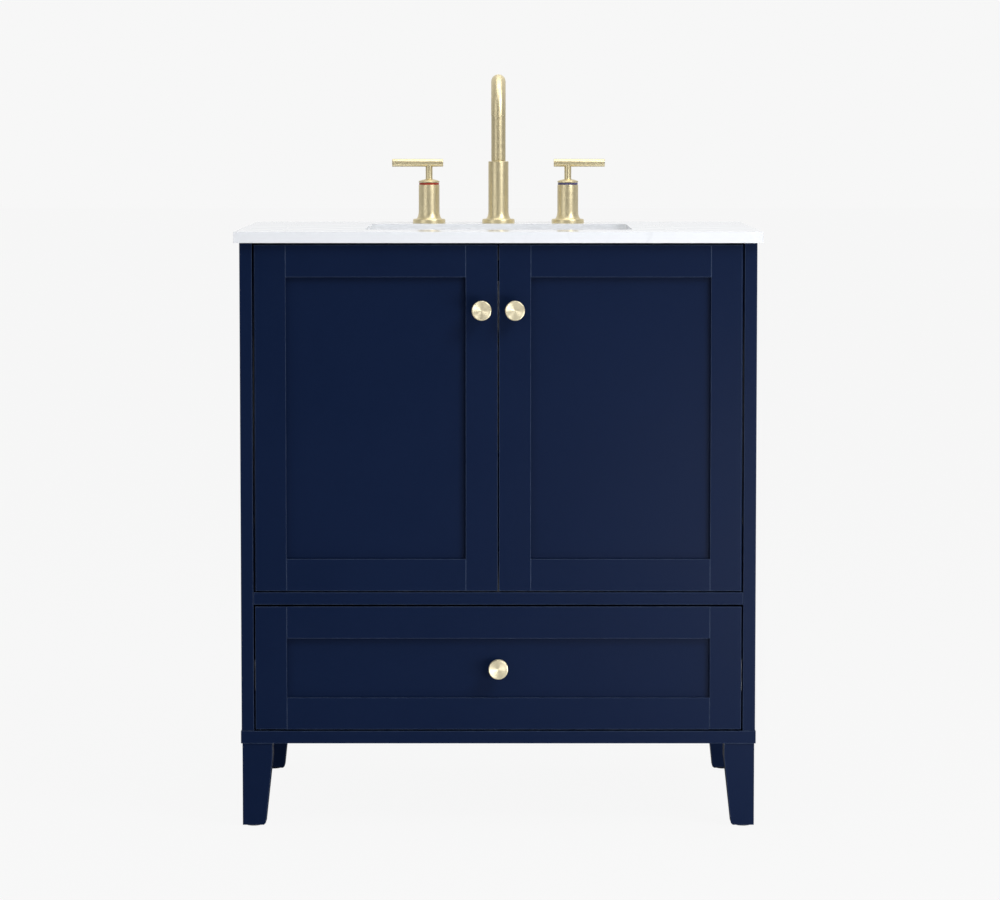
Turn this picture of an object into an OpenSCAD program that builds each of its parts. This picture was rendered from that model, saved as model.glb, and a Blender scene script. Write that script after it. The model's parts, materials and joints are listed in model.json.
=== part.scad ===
/* [Worktop] */
// Width of the worktop
top_w = 755; // [700:1:930]
// Depth of the worktop, front to back
top_d = 559; // [530:1:680]
// Thickness of the worktop
top_t = 16; // [12:1:20]
// Height of the worktop's upper face above the floor
worktop_h = 858; // [800:1:1030]
// How far the worktop stands past each side of the cabinet
overhang_side = 7.5; // [5:0.5:20]
// How far the worktop stands past the front of the cabinet
overhang_front = 13; // [5:1:25]

/* [Cabinet] */
// Thickness of the side, base and middle boards
board_t = 18; // [16:1:22]
// Thickness of the back panel
back_t = 9; // [6:1:12]
// How far the base board stands past the sides and front
base_proud = 1; // [0:0.5:3]
// Clear height of the drawer opening
drawer_open_h = 183; // [165:1:220]
// Distance from the cabinet's front to the front rail
front_rail_setback = 42; // [40:1:48]
// Height of the front rail
front_rail_h = 56; // [45:1:58]
// Height of the back rail
back_rail_h = 90; // [70:1:110]
// Leg of each triangular corner block
block_leg = 48; // [36:1:60]
// Width of the plumbing opening in the back
pipe_w = 380; // [300:1:450]
// Height of the plumbing opening in the back
pipe_h = 200; // [150:1:230]
// Height of the plumbing opening above the middle board
pipe_rise = 162; // [100:1:180]
// Corner radius of the plumbing opening
pipe_corner_r = 20; // [10:1:30]
// Distance between the wall screw holes
wall_hole_spacing = 406.4; // [300:0.1:420]
// Radius of each wall screw hole
wall_hole_r = 3; // [2.5:0.1:4]

/* [Legs] */
// Height of the legs, glides included
leg_h = 121; // [95:1:140]
// Width of a leg where it meets the base board
leg_top_w = 43; // [40:1:52]
// Width of a leg at the floor
leg_foot_w = 33; // [28:1:38]
// Height of a leg's straight top part
leg_straight_h = 22; // [15:1:35]
// Height of the slanted cut at a leg's inner foot
leg_foot_cut = 2.5; // [2:0.5:8]
// Distance from the cabinet's corner to each leg's outer faces
leg_inset = 1; // [1:1:10]
// Radius of a leg's glide
glide_r = 11; // [8:0.5:13]
// Thickness of a leg's glide
glide_t = 2; // [2:0.5:4]
// Length of a glide's nail
glide_nail_l = 14; // [10:1:18]
// Radius of a glide's nail
glide_nail_r = 1.5; // [1:0.1:2]
// Radius of a leg screw's shank
leg_screw_r = 2.5; // [2:0.1:3]
// Radius of a leg screw's countersunk head
leg_screw_head_r = 4.8; // [4:0.1:5.5]
// Length of a leg screw
leg_screw_l = 45; // [35:1:50]
// Distance between a leg's two screws
leg_screw_spacing = 16; // [14:1:24]

/* [Doors and drawer front] */
// Thickness of the doors and the drawer front
front_t = 20; // [19:0.5:22]
// Width of each upright stile
stile_w = 45.5; // [44:0.5:60]
// Height of each cross rail
rail_h = 46; // [40:0.5:56]
// Thickness of the flat centre panels
panel_t = 6; // [5:0.5:7]
// Distance from the front face back to the centre panel
panel_set = 8; // [5:0.5:8]
// Depth of the grooves that hold the panels and the rails' tongues
groove_d = 5.5; // [4.5:0.1:5.9]
// Space left between a panel's edge and the bottom of its groove
panel_edge_gap = 0.6; // [0.3:0.1:1]
// Gap at the outer edge of each door and of the drawer front
side_gap = 2.3; // [2.3:0.1:3.5]
// Gap between the two doors
centre_gap = 2.2; // [2:0.1:4]
// Gap under the doors
door_gap_low = 2; // [1.5:0.1:4]
// Gap above the doors
door_gap_high = 3; // [2:0.1:5]
// Gap under the drawer front
drawer_gap_low = 2.3; // [1.5:0.1:4]
// Gap above the drawer front
drawer_gap_high = 2.7; // [2:0.1:4]
// Slanted edge that lets a door swing clear of the side
swing_edge = 1.5; // [1.5:0.1:2.5]

/* [Knobs] */
// How far a knob stands out from its door
knob_proj = 28; // [22:1:35]
// Radius of a knob's round face
knob_r = 14; // [12:0.1:18]
// Thickness of a knob's head at its rim
knob_head_t = 11; // [8:0.5:13]
// Radius of a knob's neck
knob_neck_r = 6; // [5:0.1:8]
// Radius of a knob's foot
knob_foot_r = 8; // [7:0.1:10]
// Thickness of a knob's foot
knob_foot_t = 2.5; // [1.5:0.1:4]
// Slanted edge round a knob's face
knob_edge = 1.2; // [0.5:0.1:2]
// Distance from the top of a door down to its knob
knob_drop = 93; // [70:1:140]
// Radius of a knob's screw
knob_screw_r = 2; // [1.5:0.1:2.5]
// Radius of the screw's head
knob_screw_head_r = 4.2; // [3.5:0.1:5]
// Height of the screw's head
knob_screw_head_t = 2.4; // [2:0.1:3]
// How far the screw reaches into the knob
knob_screw_grip = 10; // [7:0.5:14]

/* [Door hinges] */
// Distance from a door's outer edge to its hinge pin
pin_inset = 24; // [24:0.5:26]
// Distance from a door's front face back to its hinge pin
pin_depth = 11; // [10.5:0.1:11]
// Radius of a hinge pin
pin_r = 1.6; // [1.4:0.1:1.8]
// Radius of the hinge arm's eye
eye_r = 3.2; // [2.8:0.1:3.4]
// Radius of the bore that takes a hinge cup
cup_r = 17.5; // [17:0.1:18]
// Depth of that bore
cup_depth = 13.5; // [13:0.1:14]
// Distance from a door's outer edge to the centre of its cups
cup_inset = 22; // [21.5:0.1:22.4]
// Wall of a hinge cup
cup_wall = 0.9; // [0.7:0.1:1.2]
// Thickness of a hinge arm's strip
arm_t = 3; // [2:0.1:3.4]
// Angle of the arm where it leaves the cup
arm_angle = 42.5; // [40:0.5:45]
// Width of a hinge arm, measured up the door
arm_w = 11; // [9:0.5:14]
// Distance from each end of a door to its hinge
hinge_end = 92; // [80:1:130]

/* [Drawer box] */
// Depth of the drawer box and length of its slides
slide_l = 450; // [350:10:450]
// Height of the drawer box
box_h = 120; // [90:1:130]
// Height of the drawer box above the base board
box_rise = 18; // [12:1:24]
// Thickness of the drawer box's walls
box_t = 12; // [10:0.5:15]
// Thickness of the drawer box's bottom
box_floor_t = 6; // [5:0.5:8]
// Height of the bottom's groove above the walls' lower edge
box_floor_rise = 10; // [8:1:14]
// How far the bottom sits into the walls
box_floor_grip = 6; // [4:0.5:7]
// Space that each slide takes between the drawer and the side
slide_t = 12.7; // [12.5:0.1:13]
// Thickness of the slides' steel
slide_wall = 1.2; // [1:0.1:1.5]
// Half of the height of the slide's cabinet member
slide_half_h = 22.5; // [21:0.5:23]
// Room for the balls between one slide member and the next
ball_gap = 3.5; // [3:0.1:3.7]

/* [Sink] */
// Width of the cut-out in the worktop
sink_w = 390; // [330:1:440]
// Front-to-back size of the cut-out in the worktop
sink_d = 325; // [270:1:330]
// Corner radius of the cut-out
sink_corner_r = 28; // [20:1:45]
// Distance from the worktop's front edge to the cut-out
sink_margin = 107; // [105:1:120]
// Depth of the bowl under the worktop
bowl_depth = 135; // [100:1:150]
// How much narrower the bowl's floor is on each side
bowl_draft = 28; // [15:1:40]
// Width of the bowl's ledge beyond the cut-out
ledge_w = 22; // [18:1:24]
// Thickness of the bowl's ledge
ledge_t = 10; // [8:1:14]
// How much wider than the cut-out the bowl's mouth is on each side
bowl_reveal = 2; // [0:0.5:4]
// Thickness of the bowl's wall
bowl_wall = 8; // [7:0.5:12]
// Thickness of the bowl's floor
bowl_floor_t = 12; // [10:0.5:16]
// Radius of the drain hole in the bowl
drain_hole_r = 22.5; // [21:0.1:24]
// Radius of the drain's flange
drain_flange_r = 29; // [27:0.5:32]
// Thickness of the drain's flange
drain_flange_t = 3; // [2:0.1:4]
// Length of the drain body under the bowl
drain_body_l = 55; // [50:1:70]
// Radius of the drain nut across its flats
drain_nut_r = 31; // [28:0.5:34]
// Thickness of the drain nut
drain_nut_t = 12; // [9:0.5:14]
// Outer radius of the tailpiece
tail_r = 15.875; // [15:0.005:16.5]
// Wall of the tailpiece
tail_wall = 1.2; // [0.8:0.1:1.6]
// Length of the tailpiece below the drain body
tail_l = 115; // [60:1:130]
// How far the tailpiece goes up into the drain body
tail_grip = 18; // [12:1:24]
// How much thinner that upper end is, measured on its radius
tail_step = 0.5; // [0.3:0.1:0.8]
// Radius of the stopper's cap
stopper_r = 26; // [24:0.5:26.5]
// Radius of the stopper's stem
stopper_stem_r = 4; // [3:0.1:5]
// How far the stopper lifts
stopper_lift = 8; // [6:0.5:10]
// Width of a sink clip
clip_w = 18; // [14:1:24]
// Thickness of a sink clip
clip_t = 2.5; // [2:0.1:3]

/* [Tap] */
// Distance from the worktop's front edge to the tap's holes
tap_setback = 490; // [482:1:495]
// Distance from the spout to each handle
tap_spacing = 107; // [95:1:125]
// Radius of the spout's and handles' round flanges
tap_flange_r = 25; // [23:0.5:28]
// Thickness of those flanges
tap_flange_t = 6.5; // [5:0.5:8]
// Radius of the flare's upper end on a handle, and of the handle's body
handle_body_r = 16; // [14:0.5:18]
// Height of a handle's fixed body above the worktop
handle_body_h = 59; // [50:1:70]
// Height of the coloured ring
ring_t = 3; // [2:0.5:4]
// Radius of a handle's stem
handle_stem_r = 5.3; // [4.5:0.1:6.5]
// Height of the handle bar's axis above the worktop
bar_axis_h = 92.7; // [88:0.1:100]
// Radius of the handle bar
bar_r = 6; // [5:0.1:7.5]
// Length of the bar outwards from the stem
bar_out = 57; // [45:1:70]
// Length of the bar inwards from the stem
bar_in = 21.7; // [15:0.1:25]
// Radius of the spout's lower body
spout_body_r = 15.5; // [14:0.5:18]
// Height of the spout's lower body
spout_body_h = 95; // [85:1:110]
// Radius of the spout's tube
spout_tube_r = 11; // [10:0.1:12]
// Radius of the water way through the spout
spout_way_r = 7; // [6:0.1:7.5]
// Radius of the gooseneck, at the middle of the tube
spout_bend_r = 52; // [45:1:65]
// Height of the spout's highest point above the worktop
spout_top_h = 228; // [215:1:260]
// Radius of the tap holes in the worktop
tap_hole_r = 17.5; // [16.5:0.5:18]
// Radius of the shanks under the worktop
shank_r = 13; // [12:0.1:13.5]
// Length of the shanks below the worktop's upper face
shank_l = 62; // [52:1:75]
// Radius of the pipe thread at the foot of each shank
inlet_r = 10.4; // [10:0.05:10.6]
// Length of that pipe thread
inlet_l = 16; // [12:1:18]
// Radius across the corners of the mounting nuts
tap_nut_r = 21; // [19:0.5:22]
// Thickness of the mounting nuts
tap_nut_t = 9; // [7:0.5:12]
// How far the spout and each handle spindle go down into their bodies
spigot_l = 34; // [20:1:42]

/* [Fits] */
// Clearance round a turning pin, stem or spigot
run_clear = 0.05; // [0.02:0.01:0.1]
// Clearance between fixed pieces that slide together
joint_clear = 0.1; // [0.05:0.01:0.2]
// Space between pieces that pass each other as they move
pass_gap = 0.4; // [0.3:0.1:0.8]

/* [Hidden] */
$fn = 64;

navy = [0.07, 0.11, 0.21];
stone = [0.94, 0.94, 0.93];
porcelain = [0.96, 0.96, 0.95];
gold = [0.80, 0.72, 0.50];
steel = [0.70, 0.71, 0.72];
birch = [0.84, 0.74, 0.57];
grey_plastic = [0.45, 0.45, 0.46];

// Planes and levels of the carcass
cut = 1;
cab_w = top_w - 2 * overhang_side;
cab_d = top_d - overhang_front;
front_y = (max(knob_proj, overhang_front) - cab_d) / 2;
back_y = front_y + cab_d;
inner_x = cab_w / 2 - board_t;
base_z = leg_h;
base_top = base_z + board_t;
shelf_z = base_top + drawer_open_h;
shelf_top = shelf_z + board_t;
carcass_top = worktop_h - top_t;
back_panel_y = back_y - back_t;
back_rail_y = back_panel_y - board_t;
wall_hole_z = carcass_top - back_rail_h / 2;
stop_half = 38;
stop_h = 20;
stop_top = carcass_top - 6;

// Doors and drawer front
door_w = inner_x - side_gap - centre_gap / 2;
door_z = shelf_top + door_gap_low;
door_h = carcass_top - door_gap_high - door_z;
drawer_w = 2 * (inner_x - side_gap);
drawer_z = base_top + drawer_gap_low;
drawer_h = drawer_open_h - drawer_gap_low - drawer_gap_high;
groove_w = panel_t + 2 * joint_clear;
groove_y = panel_set - joint_clear;
panel_grip = groove_d - panel_edge_gap;
knob_z = door_h - knob_drop;

// Hinges, with the pin at the origin, +X towards the door's free edge and +Y into the cabinet
pin_x = -inner_x + side_gap + pin_inset;
pin_y = front_y + pin_depth;
hinge_levels = [door_z + hinge_end, door_z + door_h - hinge_end];
cup_x = cup_inset - pin_inset;
door_back = front_t - pin_depth;
cup_open_r = cup_r - joint_clear - cup_wall;
wing_half = 27;
wing_w = 16;
wing_t = 1.2;
wing_lap = 2;
corner_sweep = sqrt(pin_inset * pin_inset + pow(max(pin_depth, door_back), 2));
sweep_gap = 1;
bridge_y = corner_sweep + sweep_gap;
bridge_t = 4;
plate_gap = 2;
ray_l = (bridge_y + bridge_t / 2) / sin(arm_angle);
side_x = -(pin_inset + side_gap);
plate_t = 5;
plate_y = bridge_y + bridge_t + plate_gap;
plate_l = 50;
plate_half = 9;
plate_wing_half = 26;
plate_wing_l = 14;
plate_wing_t = 3;
channel_t = 10;

// Legs
leg_x = cab_w / 2 - leg_inset;
leg_front_y = front_y + leg_inset;
leg_back_y = back_y - leg_inset;
leg_screw_in = 11;
leg_screw_x = leg_x - leg_top_w + leg_screw_in;
glide_in = (leg_foot_w - leg_foot_cut) / 2;
hole_spare = 1;

// Drawer box and slides
box_y = front_y + front_t;
box_z = base_top + box_rise;
box_x = inner_x - slide_t;
slide_z = box_z + box_h / 2;
slide_end_gap = 2;
slide_y = box_y + slide_end_gap;
slide_run = slide_l - 2 * slide_end_gap;
middle_half_h = slide_half_h - slide_wall - ball_gap;
inner_half_h = middle_half_h - slide_wall - ball_gap;
outer_reach = 8.5;
middle_web_x = 3;
middle_reach = 10;
inner_reach = 5.5;
knob_drawer_z = drawer_h / 2;
drawer_grip = front_t - panel_set + box_t;

// Sink
slab_y = front_y - overhang_front;
sink_y = slab_y + sink_margin + sink_d / 2;
bowl_top = carcass_top;
bowl_floor = bowl_top - bowl_depth;
bowl_w = sink_w + 2 * bowl_reveal;
bowl_d = sink_d + 2 * bowl_reveal;
ledge_out_w = sink_w + 2 * ledge_w;
ledge_out_d = sink_d + 2 * ledge_w;
bowl_corner_r = sink_corner_r + bowl_reveal;
bowl_bottom = bowl_floor - bowl_floor_t;
drain_play = 0.5;
drain_wall = 3.5;
drain_body_r = drain_hole_r - drain_play;
drain_way_r = drain_body_r - drain_wall;
drain_low = bowl_bottom - drain_body_l;
drain_taper = 4;
drain_edge = 1;
tail_thread_r = tail_r - tail_step;
tail_gap = 1;
spider_drop = 12;
spider_z = bowl_bottom - spider_drop;
spider_t = 8;
spider_wall = 3;
spider_arm_half = 1.5;
stopper_rise = 5;
stem_below = 2;

clip_tip = 12;
clip_foot = 18;

// Tap
deck = worktop_h;
tap_y = slab_y + tap_setback;
flare_h = 11;
flare_out = 3.2;
bend_z = deck + spout_top_h - spout_tube_r - spout_bend_r;
spigot_step = 1.5;
spigot_r = spout_tube_r - spigot_step;
outlet_step = 2.2;
outlet_r = spout_way_r + outlet_step;
outlet_l = 8;
aerator_t = 5;
aerator_hole_r = 1.5;
aerator_ring_r = 4;
spindle_step = 0.3;
spindle_r = handle_stem_r - spindle_step;
spigot_gap = 1;
ring_step = 0.6;
tap_edge = 0.8;
washer_t = 2;
washer_out = 2;
ring_hole_r = handle_body_r / 2;
cap_z = handle_body_h + ring_t + pass_gap;
cap_t = 2.2;
cap_rise = 2.7;

// A box from one corner to the opposite one
module block(low, high) {
    translate(low) cube(high - low);
}

// The same shape on the left and on the right
module both_sides() {
    children();
    mirror([1, 0, 0]) children();
}

// A flat rectangle with round corners
module round_rect(w, d, r) {
    square([w - 2 * r, d], center = true);
    square([w, d - 2 * r], center = true);
    for (x = [-1, 1], y = [-1, 1])
        translate([x * (w / 2 - r), y * (d / 2 - r)]) circle(r);
}

// A tube along +Z
module pipe(r_out, r_in, h) {
    difference() {
        cylinder(r = r_out, h = h);
        translate([0, 0, -cut]) cylinder(r = r_in, h = h + 2 * cut);
    }
}

// ---- Carcass ----

module side_panel() {
    block([-cab_w / 2, front_y, base_top], [-inner_x, back_y, carcass_top]);
}

module left_side_panel() {
    color(navy) side_panel();
}

module right_side_panel() {
    color(navy) mirror([1, 0, 0]) side_panel();
}

// Where the two screws of one leg go
module at_leg_screws() {
    for (end = [leg_front_y + leg_top_w / 2, leg_back_y - leg_top_w / 2])
        for (step = [-1, 1])
            both_sides()
                translate([-leg_screw_x, end + step * leg_screw_spacing / 2, base_top])
                    children();
}

// A countersunk screw, its head at the origin and its point down
module wood_screw(extra) {
    head_h = leg_screw_head_r - leg_screw_r;
    rotate([180, 0, 0]) {
        cylinder(r1 = leg_screw_head_r + extra, r2 = leg_screw_r + extra, h = head_h);
        cylinder(r = leg_screw_r + extra, h = leg_screw_l + extra);
    }
}

module base_board() {
    color(navy) difference() {
        block([-cab_w / 2 - base_proud, front_y - base_proud, base_z],
              [cab_w / 2 + base_proud, back_y, base_top]);
        at_leg_screws() wood_screw(joint_clear);
    }
}

module mid_shelf() {
    color(navy) block([-inner_x, front_y, shelf_z], [inner_x, back_panel_y, shelf_top]);
}

module at_wall_holes() {
    both_sides()
        translate([wall_hole_spacing / 2, back_y, wall_hole_z])
            rotate([90, 0, 0]) children();
}

module wall_holes() {
    at_wall_holes()
        translate([0, 0, -cut]) cylinder(r = wall_hole_r, h = back_t + board_t + 2 * cut);
}

module back_panel() {
    color(navy) difference() {
        block([-inner_x, back_panel_y, base_top], [inner_x, back_y, carcass_top]);
        translate([0, back_y + cut, shelf_top + pipe_rise + pipe_h / 2])
            rotate([90, 0, 0]) linear_extrude(back_t + 2 * cut)
                round_rect(pipe_w, pipe_h, pipe_corner_r);
        wall_holes();
    }
}

module front_rail() {
    color(navy) block([-inner_x, front_y + front_rail_setback, carcass_top - front_rail_h],
                      [inner_x, front_y + front_rail_setback + board_t, carcass_top]);
}

module back_rail() {
    color(navy) difference() {
        block([-inner_x, back_rail_y, carcass_top - back_rail_h],
              [inner_x, back_panel_y, carcass_top]);
        wall_holes();
    }
}

module corner_blocks() {
    color(birch) both_sides() {
        translate([-inner_x, front_y + front_rail_setback + board_t, carcass_top - board_t])
            linear_extrude(board_t) polygon([[0, 0], [block_leg, 0], [0, block_leg]]);
        translate([-inner_x, back_rail_y, carcass_top - board_t])
            linear_extrude(board_t) polygon([[0, 0], [block_leg, 0], [0, -block_leg]]);
    }
}

// The block that both doors close against
module door_stop() {
    color(grey_plastic)
        block([-stop_half, front_y + front_t + pass_gap, stop_top - stop_h],
              [stop_half, front_y + front_rail_setback, stop_top]);
}

// ---- Legs ----

// A leg's face seen from the side: straight outer edge at x = 0, tapered inner edge
module leg_outline() {
    polygon([
        [0, glide_t], [leg_foot_w - leg_foot_cut, glide_t],
        [leg_foot_w, glide_t + leg_foot_cut],
        [leg_top_w, leg_h - leg_straight_h], [leg_top_w, leg_h], [0, leg_h]
    ]);
}

// The front left leg, its outer corner at the origin
module leg() {
    difference() {
        intersection() {
            translate([0, leg_top_w, 0]) rotate([90, 0, 0])
                linear_extrude(leg_top_w) leg_outline();
            rotate([90, 0, 90]) linear_extrude(leg_top_w) leg_outline();
        }
        translate([glide_in, glide_in, 0])
            cylinder(r = glide_nail_r + joint_clear, h = glide_t + glide_nail_l + hole_spare);
        for (step = [-1, 1])
            translate([leg_x - leg_screw_x, leg_top_w / 2 + step * leg_screw_spacing / 2,
                       leg_h - (leg_screw_l - board_t) - hole_spare])
                cylinder(r = leg_screw_r + joint_clear, h = leg_screw_l);
    }
}

module front_left_leg() {
    color(navy) translate([-leg_x, leg_front_y, 0]) leg();
}

module front_right_leg() {
    color(navy) mirror([1, 0, 0]) translate([-leg_x, leg_front_y, 0]) leg();
}

module back_left_leg() {
    color(navy) translate([-leg_x, leg_back_y, 0]) mirror([0, 1, 0]) leg();
}

module back_right_leg() {
    color(navy) mirror([1, 0, 0])
        translate([-leg_x, leg_back_y, 0]) mirror([0, 1, 0]) leg();
}

module leg_glides() {
    color(grey_plastic) both_sides()
        for (y = [leg_front_y + glide_in, leg_back_y - glide_in])
            translate([-leg_x + glide_in, y, 0]) {
                cylinder(r = glide_r, h = glide_t);
                cylinder(r = glide_nail_r, h = glide_t + glide_nail_l);
            }
}

module leg_screws() {
    color(steel) at_leg_screws() wood_screw(0);
}

// ---- Worktop, bowl and drain ----

module at_tap_holes() {
    for (x = [-tap_spacing, 0, tap_spacing])
        translate([x, tap_y, 0]) children();
}

module worktop() {
    color(stone) difference() {
        block([-top_w / 2, slab_y, carcass_top], [top_w / 2, slab_y + top_d, worktop_h]);
        translate([0, sink_y, carcass_top - cut]) linear_extrude(top_t + 2 * cut)
            round_rect(sink_w, sink_d, sink_corner_r);
        at_tap_holes()
            translate([0, 0, carcass_top - cut]) cylinder(r = tap_hole_r, h = top_t + 2 * cut);
    }
}

// A thin round-cornered layer, for the bowl's tapered walls
module layer(w, d, r, z, t) {
    translate([0, 0, z]) linear_extrude(t) round_rect(w, d, r, $fn = 32);
}

module bowl_form(grow, top_z, low_z) {
    skin = 0.5;
    hull() {
        layer(bowl_w + 2 * grow, bowl_d + 2 * grow, bowl_corner_r + grow, top_z - skin, skin);
        layer(bowl_w - 2 * bowl_draft + 2 * grow, bowl_d - 2 * bowl_draft + 2 * grow,
              bowl_corner_r + grow, low_z, skin);
    }
}

module sink_basin() {
    color(porcelain) translate([0, sink_y, 0]) difference() {
        union() {
            translate([0, 0, bowl_top - ledge_t]) linear_extrude(ledge_t)
                round_rect(ledge_out_w, ledge_out_d, sink_corner_r + ledge_w);
            bowl_form(bowl_wall, bowl_top - ledge_t / 2, bowl_bottom);
        }
        bowl_form(0, bowl_top + cut, bowl_floor);
        translate([0, 0, bowl_bottom - cut])
            cylinder(r = drain_hole_r, h = bowl_floor_t + 2 * cut);
        translate([0, 0, bowl_floor - drain_flange_t])
            cylinder(r = drain_flange_r + drain_play, h = drain_flange_t + cut);
    }
}

// One clip: a stepped strip that holds the ledge up, its foot glued under the worktop
module sink_clip() {
    rotate([90, 0, 0]) translate([0, 0, -clip_w / 2]) linear_extrude(clip_w) polygon([
        [-clip_tip, -ledge_t], [pass_gap, -ledge_t], [pass_gap, 0], [clip_foot, 0],
        [clip_foot, -clip_t], [pass_gap + clip_t, -clip_t],
        [pass_gap + clip_t, -ledge_t - clip_t], [-clip_tip, -ledge_t - clip_t]
    ]);
}

module sink_clips() {
    color(steel) translate([0, sink_y, bowl_top]) {
        both_sides()
            for (y = [-sink_d / 4, sink_d / 4])
                translate([ledge_out_w / 2, y, 0]) sink_clip();
        for (x = [-tap_spacing / 2, tap_spacing / 2])
            translate([x, ledge_out_d / 2, 0]) rotate([0, 0, 90]) sink_clip();
    }
}

// The drain's flange and body, turned as one piece, with a spider that guides the stopper
module drain_body() {
    color(gold) translate([0, sink_y, 0]) {
        rotate_extrude() polygon([
            [drain_way_r, drain_low + tail_grip + drain_taper],
            [tail_thread_r + joint_clear, drain_low + tail_grip],
            [tail_thread_r + joint_clear, drain_low], [drain_body_r, drain_low],
            [drain_body_r, bowl_floor - drain_flange_t],
            [drain_flange_r, bowl_floor - drain_flange_t],
            [drain_flange_r, bowl_floor - drain_edge],
            [drain_flange_r - drain_edge, bowl_floor],
            [drain_way_r + drain_edge, bowl_floor], [drain_way_r, bowl_floor - drain_edge]
        ]);
        difference() {
            union() {
                translate([0, 0, spider_z])
                    cylinder(r = stopper_stem_r + spider_wall, h = spider_t);
                for (turn = [0, 120, 240])
                    rotate([0, 0, turn])
                        block([0, -spider_arm_half, spider_z],
                              [drain_body_r - drain_wall / 2, spider_arm_half,
                               spider_z + spider_t]);
            }
            translate([0, 0, spider_z - cut])
                cylinder(r = stopper_stem_r + run_clear, h = spider_t + 2 * cut);
        }
    }
}

module drain_nut() {
    color(gold) translate([0, sink_y, bowl_bottom - drain_nut_t]) difference() {
        cylinder(r = drain_nut_r, h = drain_nut_t, $fn = 6);
        translate([0, 0, -cut])
            cylinder(r = drain_body_r + joint_clear, h = drain_nut_t + 2 * cut);
    }
}

module drain_tailpiece() {
    full_l = tail_l + tail_grip - tail_gap;
    color(gold) translate([0, sink_y, drain_low - tail_l]) {
        pipe(tail_r, tail_r - tail_step - tail_wall, tail_l);
        pipe(tail_thread_r, tail_thread_r - tail_wall, full_l);
    }
}

module drain_stopper() {
    rest_z = bowl_floor + pass_gap;
    stem_low = spider_z - stopper_lift - stem_below;
    color(gold) translate([0, sink_y, 0]) {
        rotate_extrude() polygon([
            [0, rest_z], [stopper_r, rest_z], [stopper_r, rest_z + stopper_rise - 3],
            [stopper_r - 3, rest_z + stopper_rise - 1], [0, rest_z + stopper_rise]
        ]);
        translate([0, 0, stem_low])
            cylinder(r = stopper_stem_r, h = rest_z + stopper_rise / 2 - stem_low);
    }
}

// ---- Door hinges ----

// Where the left door's hinge pins are, mirrored for the right door
module at_left_hinges() {
    for (z = hinge_levels) translate([pin_x, pin_y, z]) children();
}

module hinge_plate() {
    block([side_x, plate_y, -plate_half], [side_x + plate_t, plate_y + plate_l, plate_half]);
    wing_y = plate_y + (plate_l - plate_wing_l) / 2;
    block([side_x, wing_y, -plate_wing_half],
          [side_x + plate_wing_t, wing_y + plate_wing_l, plate_wing_half]);
}

module hinge_plates() {
    color(steel) both_sides() at_left_hinges() hinge_plate();
}

// The arm, seen along the pin: an eye, a slanted strip out of the cup, a bridge and a channel
module arm_outline() {
    arm_x = side_x + plate_t;
    circle(eye_r);
    rotate(arm_angle) translate([0, -arm_t / 2]) square([ray_l, arm_t]);
    translate([arm_x, bridge_y])
        square([ray_l * cos(arm_angle) + arm_t / 2 - arm_x, bridge_t]);
    translate([arm_x, bridge_y]) square([channel_t, bridge_t + plate_gap + plate_l]);
}

module hinge_arm() {
    difference() {
        translate([0, 0, -arm_w / 2]) linear_extrude(arm_w) arm_outline();
        translate([0, 0, -arm_w]) cylinder(r = pin_r + run_clear, h = 2 * arm_w);
    }
}

module hinge_arms() {
    color(steel) both_sides() at_left_hinges() hinge_arm();
}

module hinge_cup() {
    bottom = door_back - cup_depth;
    translate([cup_x, door_back, 0]) rotate([90, 0, 0]) difference() {
        cylinder(r = cup_r - joint_clear, h = cup_depth - joint_clear);
        translate([0, 0, -cut])
            cylinder(r = cup_open_r, h = cup_depth - joint_clear - cup_wall + cut);
    }
    for (side = [-1, 1])
        translate([cup_x - wing_w / 2, door_back,
                   side > 0 ? cup_open_r - wing_lap : -wing_half])
            cube([wing_w, wing_t, wing_half - cup_open_r + wing_lap]);
    translate([0, 0, -cup_open_r - cup_wall / 2])
        cylinder(r = pin_r, h = 2 * cup_open_r + cup_wall);
}

module door_hinge_cups() {
    color(steel) at_left_hinges() hinge_cup();
}

// ---- Framed fronts ----

// A stile standing at the origin, its groove facing +X
module stile(h) {
    difference() {
        cube([stile_w, front_t, h]);
        translate([stile_w - groove_d, groove_y, -cut])
            cube([groove_d + cut, groove_w, h + 2 * cut]);
    }
}

// The lower rail of a frame that is frame_w wide, its groove facing up
module rail(frame_w) {
    span = frame_w - 2 * stile_w;
    difference() {
        union() {
            translate([stile_w, 0, 0]) cube([span, front_t, rail_h]);
            translate([stile_w - groove_d + joint_clear, panel_set, 0])
                cube([span + 2 * (groove_d - joint_clear), panel_t, rail_h - groove_d]);
        }
        translate([0, groove_y, rail_h - groove_d]) cube([frame_w, groove_w, groove_d + cut]);
    }
}

module rail_pair(frame_w, frame_h) {
    rail(frame_w);
    translate([0, 0, frame_h]) mirror([0, 0, 1]) rail(frame_w);
}

module flat_panel(frame_w, frame_h) {
    translate([stile_w - panel_grip, panel_set, rail_h - panel_grip])
        cube([frame_w - 2 * (stile_w - panel_grip), panel_t,
              frame_h - 2 * (rail_h - panel_grip)]);
}

// A knob on a face at y = 0, standing out towards -Y
module knob() {
    neck_end = knob_proj - knob_head_t;
    rotate([90, 0, 0]) difference() {
        rotate_extrude() polygon([
            [0, 0], [knob_foot_r, 0], [knob_foot_r, knob_foot_t],
            [knob_neck_r, knob_foot_t + 2], [knob_neck_r, neck_end - 3],
            [knob_neck_r + 2, neck_end], [knob_r - knob_edge, neck_end],
            [knob_r, neck_end + knob_edge], [knob_r, knob_proj - knob_edge],
            [knob_r - knob_edge, knob_proj], [0, knob_proj]
        ]);
        translate([0, 0, -cut])
            cylinder(r = knob_screw_r + joint_clear, h = knob_screw_grip + hole_spare + cut);
    }
}

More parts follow.
